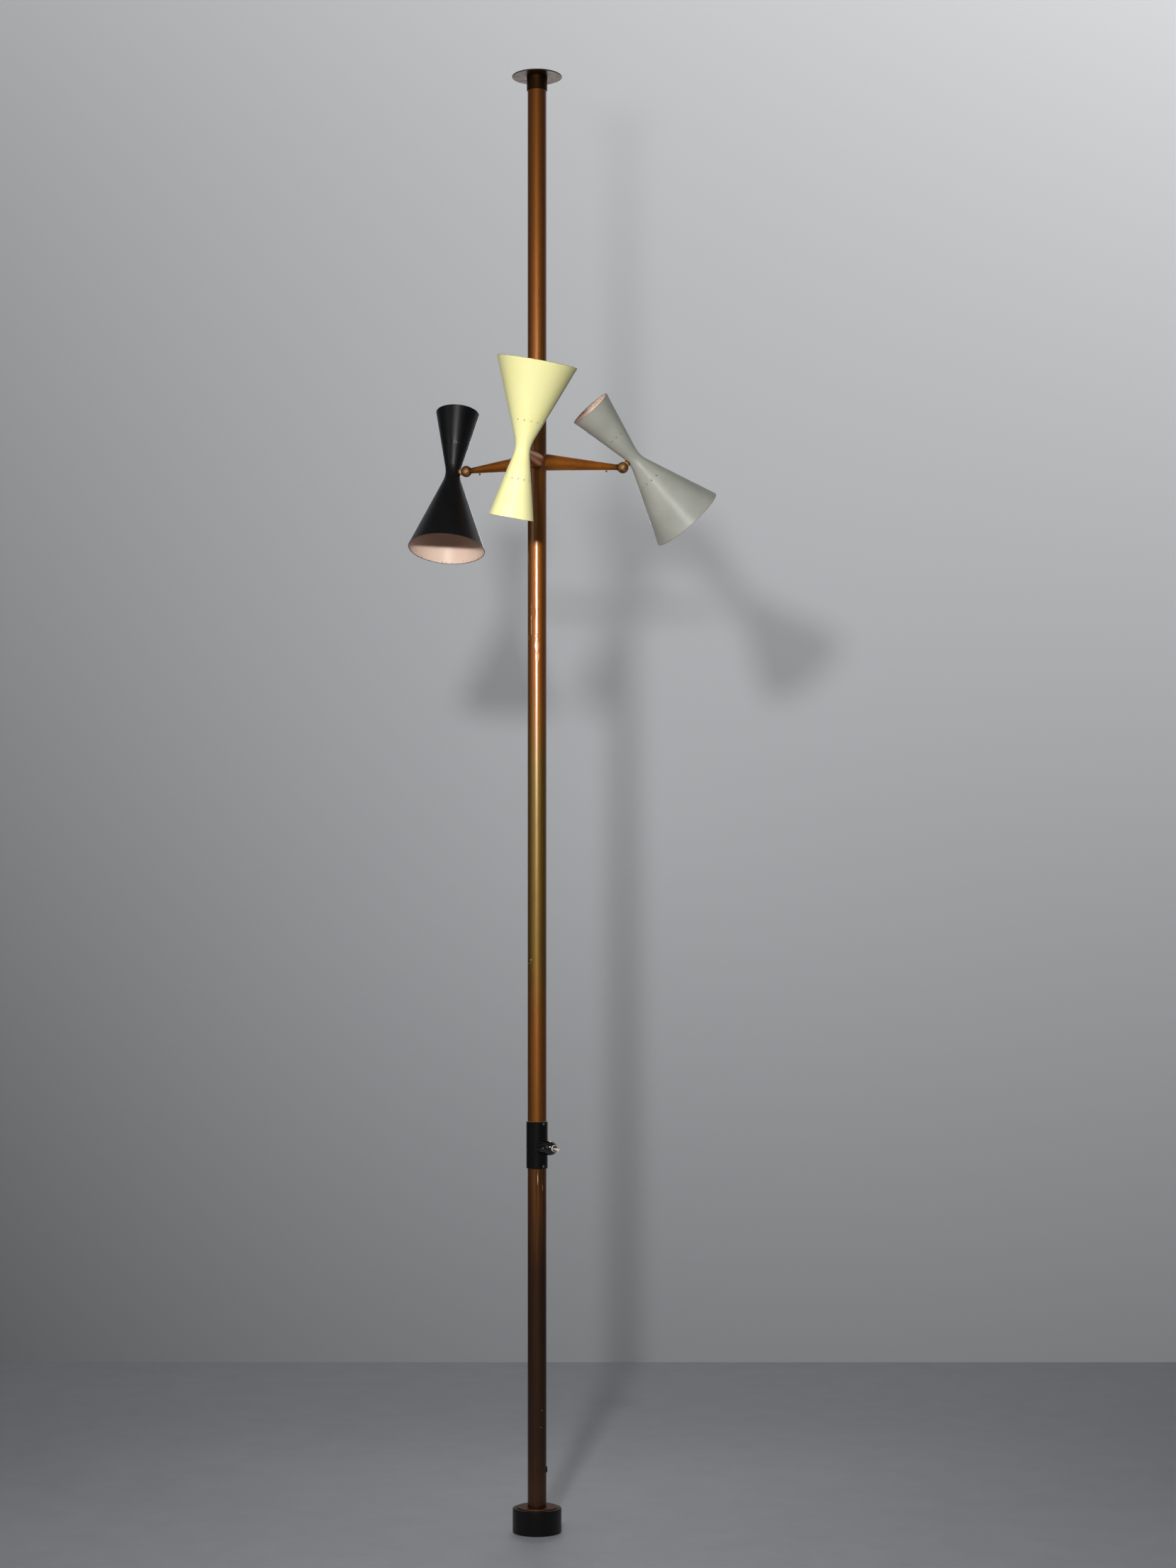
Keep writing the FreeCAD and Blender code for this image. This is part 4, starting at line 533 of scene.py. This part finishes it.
def spun_shade(side, name, paint, faded, bare, roughness):
    """Spun aluminium, sprayed: an even satin coat with the faint dimples of the gun,
    slightly paler in patches, rubbed to brown metal along both rims, and off-white
    with brown age specks inside."""
    finish, tree, shader, place = new_finish(name, {"IOR": 1.5, "Specular IOR Level": 0.3})
    waist, axis = shade_axis(side)
    own = local_frame(waist, axis)
    local = add(tree, "ShaderNodeMapping", {"Vector": place, **own}, vector_type="TEXTURE")
    facing = add(tree, "ShaderNodeMapping", {
        "Vector": add(tree, "ShaderNodeTexCoord").outputs["Normal"], "Rotation": own["Rotation"]},
        vector_type="TEXTURE")
    flat = add(tree, "ShaderNodeVectorMath", {"Vector": local, "Vector_001": (1.0, 1.0, 0.0)},
               operation="MULTIPLY")
    radial = add(tree, "ShaderNodeVectorMath", {"Vector": flat}, operation="NORMALIZE")
    outward = add(tree, "ShaderNodeVectorMath", {"Vector": radial, "Vector_001": facing},
                  operation="DOT_PRODUCT")
    # The vents' own walls face sideways, and count as outside.
    inside = add(tree, "ShaderNodeMath", {"Value": outward, "Value_001": FACING_IN},
                 operation="LESS_THAN")
    height = add(tree, "ShaderNodeSeparateXYZ", {"Vector": local}).outputs["Z"]
    # How far each point is from the nearer rim, measured along the shade's axis.
    from_middle = add(tree, "ShaderNodeMath", {
        "Value": height, "Value_001": -(BIG_LENGTH - SMALL_LENGTH) / 2 * MM}, operation="ADD")
    from_middle = add(tree, "ShaderNodeMath", {"Value": from_middle}, operation="ABSOLUTE")
    from_rim = add(tree, "ShaderNodeMath", {
        "Value": (BIG_LENGTH + SMALL_LENGTH) / 2 * MM, "Value_001": from_middle}, operation="SUBTRACT")

    peel = add(tree, "ShaderNodeTexNoise", {"Vector": place, "Scale": METRE / ORANGE_PEEL, "Detail": 1.0})
    patch = add(tree, "ShaderNodeTexNoise", {"Vector": place, "Scale": METRE / SPRAY_PATCH, "Detail": 5.0})
    speck = add(tree, "ShaderNodeTexNoise", {"Vector": place, "Scale": METRE / RUST_SPECK, "Detail": 4.0,
                                             "Roughness": 0.7})
    outside = add(tree, "ShaderNodeMix", {
        "Factor": add(tree, "ShaderNodeMapRange", {"Value": patch, "From Min": 0.35, "From Max": 0.7}),
        "A": colour(paint), "B": colour(faded)}, data_type="RGBA")
    cream = add(tree, "ShaderNodeMix", {"Factor": patch, "A": colour("#E9CFBE"), "B": colour("#D9B9A4")},
                data_type="RGBA")
    # Brown specks crowd towards the rims, where damp has crept under the paint.
    crowding = add(tree, "ShaderNodeMapRange", {
        "Value": from_rim, "From Min": 0.0, "From Max": SPECKED_BAND * MM, "To Min": 0.6, "To Max": 0.8})
    rusty = add(tree, "ShaderNodeMath", {"Value": speck, "Value_001": crowding}, operation="GREATER_THAN")
    cream = add(tree, "ShaderNodeMix", {"Factor": rusty, "A": cream, "B": colour("#8B5A3C")},
                data_type="RGBA")
    sides = add(tree, "ShaderNodeMix", {"Factor": inside, "A": outside, "B": cream}, data_type="RGBA")
    wear_reach = add(tree, "ShaderNodeMapRange", {"Value": speck, "From Min": 0.3, "From Max": 0.7,
                                                  "To Min": LEAST_WEAR * MM, "To Max": RIM_WEAR * MM})
    worn = add(tree, "ShaderNodeMath", {"Value": from_rim, "Value_001": wear_reach}, operation="LESS_THAN")
    connect(tree, shader, {
        "Base Color": add(tree, "ShaderNodeMix", {"Factor": worn, "A": sides, "B": colour(bare)},
                          data_type="RGBA"),
        "Roughness": add(tree, "ShaderNodeMapRange", {
            "Value": patch, "To Min": roughness - 0.06, "To Max": roughness + 0.06}),
        "Normal": add(tree, "ShaderNodeBump", {"Height": peel, "Strength": 0.15, "Distance": 0.03 * MM}),
    })
    dress(finish, "shade_" + side)


spun_shade("right", "aluminium_spun_sprayed_grey", "#9D9E94", "#A7A79D", "#6E5F50", 0.4)
spun_shade("left", "aluminium_spun_sprayed_black", "#070708", "#0D0D0F", "#4E3B30", 0.36)
spun_shade("front", "aluminium_spun_sprayed_yellow", "#F3EDA6", "#F5EFB2", "#8D7A52", 0.42)

# ---- Lampholders and bulbs ----------------------------------------------
# A cast block fills each waist and takes the neck's bolt. It carries a brown
# lampholder at each end, with a screwed-in golf-ball bulb of opal glass.
CAST_GRAIN = 1.8
MILK_PATCH = 12.0
BULB_CAP_END = 46.0      # from the waist: nearer than this the bulb is its metal cap

# Sand-cast aluminium, tumbled: dull silver with a sandy grain.
cast, tree, shader, place = new_finish("aluminium_cast_tumbled", {"Metallic": 1.0})
sand = add(tree, "ShaderNodeTexNoise", {"Vector": place, "Scale": METRE / CAST_GRAIN, "Detail": 3.0})
connect(tree, shader, {
    "Base Color": add(tree, "ShaderNodeMix", {
        "Factor": sand, "A": colour("#8E8F90"), "B": colour("#BFC0C0")}, data_type="RGBA"),
    "Roughness": add(tree, "ShaderNodeMapRange", {"Value": sand, "To Min": 0.45, "To Max": 0.7}),
    "Normal": add(tree, "ShaderNodeBump", {"Height": sand, "Strength": 0.5, "Distance": 0.1 * MM}),
})

# Opal glass, blown: milky white and smooth, on a nickelled cap.
opal, tree, shader, place = new_finish("glass_opal_blown", {"IOR": 1.5, "Subsurface Scale": 3 * MM})
milk = add(tree, "ShaderNodeTexNoise", {"Vector": place, "Scale": METRE / MILK_PATCH, "Detail": 2.0})
nearest = 1.0
for side in SIDES:
    middle = add(tree, "ShaderNodeVectorMath", {"Vector": place, "Vector_001": shade_axis(side)[0]},
                 operation="DISTANCE")
    nearest = add(tree, "ShaderNodeMath", {"Value": middle, "Value_001": nearest}, operation="MINIMUM")
in_cap = add(tree, "ShaderNodeMath", {"Value": nearest, "Value_001": BULB_CAP_END * MM},
             operation="LESS_THAN")
white = add(tree, "ShaderNodeMix", {"Factor": milk, "A": colour("#F4F1E8"), "B": colour("#EAE6DA")},
            data_type="RGBA")
connect(tree, shader, {
    "Base Color": add(tree, "ShaderNodeMix", {"Factor": in_cap, "A": white, "B": colour("#C9C4B6")},
                      data_type="RGBA"),
    "Metallic": in_cap,
    "Roughness": add(tree, "ShaderNodeMapRange", {"Value": milk, "To Min": 0.1, "To Max": 0.22}),
})
for side in SIDES:
    dress(cast, "lamp_carrier_" + side)
    dress(phenolic_brown, "lampholders_" + side)
    dress(opal, "bulbs_" + side)

# ---- Ceiling end --------------------------------------------------------
# A steel plunger, pushed up by a coil spring in the pole's top and guided by a
# brown bush, holds a round brass plate with a thin rubber pad against the ceiling.
# A short collar under the plate hides the gap.
SCALE_PATCH = 7.0

# Oil-tempered spring wire: blue-black steel with a thin brown scale.
spring, tree, shader, place = new_finish("steel_spring_oil_tempered", {"Metallic": 1.0})
scale = add(tree, "ShaderNodeTexNoise", {"Vector": place, "Scale": METRE / SCALE_PATCH, "Detail": 5.0})
connect(tree, shader, {
    "Base Color": add(tree, "ShaderNodeMix", {
        "Factor": scale, "A": colour("#4A4C52"), "B": colour("#6A5A4C")}, data_type="RGBA"),
    "Roughness": add(tree, "ShaderNodeMapRange", {"Value": scale, "To Min": 0.3, "To Max": 0.5}),
})
dress(spring, "tension_spring")
dress(zinc, "spring_seat", "plunger_rod")
dress(phenolic_brown, "guide_bush")
dress(bronzed_brass("brass_bronzed_dark", "#38240F", "#4E3820", "#5E4628",
                    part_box("ceiling_plate")[1].x), "ceiling_plate", "ceiling_collar")
dress(rubber, "ceiling_pad")

# ---- Floor and wall -----------------------------------------------------
# A plain pale floor with the faint mottle of a painted slab, and a wall behind with
# painted light on it, open from its back, so that the lamp shows from every side.
SLAB_PATCH = 120.0
FLOOR_LIFT = 0.10
SET_HALF = 12.0          # metres, as are the wall's sizes
WALL_Y, WALL_HEIGHT = 2.4, 5.0
WALL_EVEN_TO, WALL_DIM_FROM, WALL_DIM = 1.9, 5.0, 0.15
PAINTED_LIGHT_TO_RIGHT, PAINTED_LIGHT_UPWARD, PAINTED_LIGHT_BASE = 0.044, 0.095, 0.398
PAINTED_LIGHT_CURVE = 3.0


def sheet(name, corners, finish):
    """One flat sheet of the set."""
    mesh = bpy.data.meshes.new(name)
    mesh.from_pydata(corners, [], [range(len(corners))])
    mesh.materials.append(finish)
    made = bpy.data.objects.new(name, mesh)
    bpy.context.scene.collection.objects.link(made)


def seen_directly(tree, strength):
    """A strength for what the camera sees, straight or in gloss or through glass, and
    nothing for any other ray, so that the lamp isn't lit by it."""
    ray = add(tree, "ShaderNodeLightPath")
    clear = add(tree, "ShaderNodeMath", {"Value": ray.outputs["Is Glossy Ray"],
                                         "Value_001": ray.outputs["Is Transmission Ray"]}, operation="ADD")
    seen = add(tree, "ShaderNodeMath", {"Value": ray.outputs["Is Camera Ray"], "Value_001": clear},
               operation="ADD")
    return add(tree, "ShaderNodeMath", {"Value": seen, "Value_001": strength}, operation="MULTIPLY")


floor, tree, shader, place = new_finish("slab_painted_pale_grey", {"IOR": 1.5})
slab = add(tree, "ShaderNodeTexNoise", {"Vector": place, "Scale": METRE / SLAB_PATCH, "Detail": 9.0,
                                        "Roughness": 0.65})
mottled = add(tree, "ShaderNodeMix", {"Factor": slab, "A": colour("#A2A4A8"), "B": colour("#BCBDC0")},
              data_type="RGBA")
# The camera, gloss and clear surfaces see it a little paler than the lamps make it.
connect(tree, shader, {
    "Base Color": mottled, "Emission Color": mottled,
    "Emission Strength": seen_directly(tree, FLOOR_LIFT),
    "Roughness": add(tree, "ShaderNodeMapRange", {"Value": slab, "To Min": 0.5, "To Max": 0.75}),
})
sheet("floor", [(-SET_HALF, -SET_HALF, 0), (SET_HALF, -SET_HALF, 0),
                (SET_HALF, SET_HALF, 0), (-SET_HALF, SET_HALF, 0)], floor)

wall, tree, shader, place = new_finish("plaster_painted_grey", {
    "Base Color": colour("#A9AAAD"), "Roughness": 0.9, "Specular IOR Level": 0.2})
# Painted light: it is painted brighter evenly from grey low on the left to pale high
# on the right, and painted dimmer far to either side. The camera, gloss and clear
# surfaces see that painted light, and it puts no light on the lamp.
rise = add(tree, "ShaderNodeVectorMath", {
    "Vector": place, "Vector_001": (PAINTED_LIGHT_TO_RIGHT, 0.0, PAINTED_LIGHT_UPWARD)}, operation="DOT_PRODUCT")
even = add(tree, "ShaderNodeMath", {"Value": rise, "Value_001": PAINTED_LIGHT_BASE}, operation="ADD")
pale = add(tree, "ShaderNodeMath", {"Value": even, "Value_001": PAINTED_LIGHT_CURVE}, operation="POWER")
aside = add(tree, "ShaderNodeMath", {
    "Value": add(tree, "ShaderNodeSeparateXYZ", {"Vector": place}).outputs["X"]}, operation="ABSOLUTE")
painted_dimming = add(tree, "ShaderNodeMapRange", {"Value": aside, "From Min": WALL_EVEN_TO,
                                        "From Max": WALL_DIM_FROM, "To Min": 1.0,
                                        "To Max": WALL_DIM}, interpolation_type="SMOOTHSTEP")
shade = add(tree, "ShaderNodeMath", {"Value": pale, "Value_001": painted_dimming}, operation="MULTIPLY", use_clamp=True)
tint = add(tree, "ShaderNodeMix", {"Factor": shade, "A": colour("#000000"), "B": colour("#FCFDFF")},
           data_type="RGBA")
connect(tree, shader, {"Emission Color": tint, "Emission Strength": seen_directly(tree, 1.0)})
behind = add(tree, "ShaderNodeNewGeometry").outputs["Backfacing"]
seen = add(tree, "ShaderNodeMixShader", {
    "Fac": behind, "Shader": shader, "Shader_001": add(tree, "ShaderNodeBsdfTransparent")})
tree.links.new(seen.outputs["Shader"], tree.nodes["Material Output"].inputs["Surface"])
sheet("wall", [(-SET_HALF, WALL_Y, 0), (SET_HALF, WALL_Y, 0),
               (SET_HALF, WALL_Y, WALL_HEIGHT), (-SET_HALF, WALL_Y, WALL_HEIGHT)], wall)

# ---- Light --------------------------------------------------------------
# A small soft key stands left of the camera at the shades' height, with a weaker one
# at the same place turned to the floor. A broad lamp fills from the left, a broad and
# a small one light the lamp's back from before the wall, and a dim world the rest.
WORLD_STRENGTH = 0.12
KEY_PLACE = (-0.28, -3.1, 2.3)
world = bpy.data.worlds.new("studio")
world.use_nodes = True
world.node_tree.nodes["Background"].inputs["Color"].default_value = colour("#F4F6F9")
world.node_tree.nodes["Background"].inputs["Strength"].default_value = WORLD_STRENGTH
bpy.context.scene.world = world


def lamp(name, shape, size, power, spread, place, target):
    """A soft lamp that no camera sees: size in metres, power in watts, spread in
    degrees, its place and what it faces."""
    light = bpy.data.lights.new(name, "AREA")
    light.shape, light.size, light.energy = shape, size, power
    light.spread = math.radians(spread)
    made = bpy.data.objects.new(name, light)
    made.location = place
    made.rotation_euler = (Vector(target) - Vector(place)).to_track_quat("-Z", "Y").to_euler()
    made.visible_camera = False
    bpy.context.scene.collection.objects.link(made)
    return made


lamp("key", "DISK", 0.18, 11.0, 60.0, KEY_PLACE, (0.0, 0.0, 1.95))
lamp("key_low", "DISK", 0.18, 1.9, 55.0, KEY_PLACE, (0.1, 0.3, 0.0))
lamp("fill", "SQUARE", 1.6, 6.0, 140.0, (-3.2, -2.2, 2.3), (0.0, 0.0, 1.9))
lamp("back", "SQUARE", 2.4, 28.0, 110.0, (0.0, 2.35, 2.2), (0.0, 0.0, 2.0)).visible_glossy = False
lamp("back_glint", "DISK", 0.5, 2.5, 120.0, (0.0, 2.3, 2.6), (0.0, 0.0, 1.9))

# ---- Camera -------------------------------------------------------------
# It looks level from below the pole's middle, about 5.9 m away and a little to its
# right, and the view is shifted up to take in the ceiling plate.
lens = bpy.data.cameras.new("camera")
lens.lens = 63.47
lens.shift_y = 0.103
camera = bpy.data.objects.new("camera", lens)
camera.location = (0.1085, -5.885, 1.249)
camera.rotation_euler = (math.pi / 2, 0.0, 0.0)
bpy.context.scene.collection.objects.link(camera)
bpy.context.scene.camera = camera
bpy.context.scene.view_settings.view_transform = "Standard"
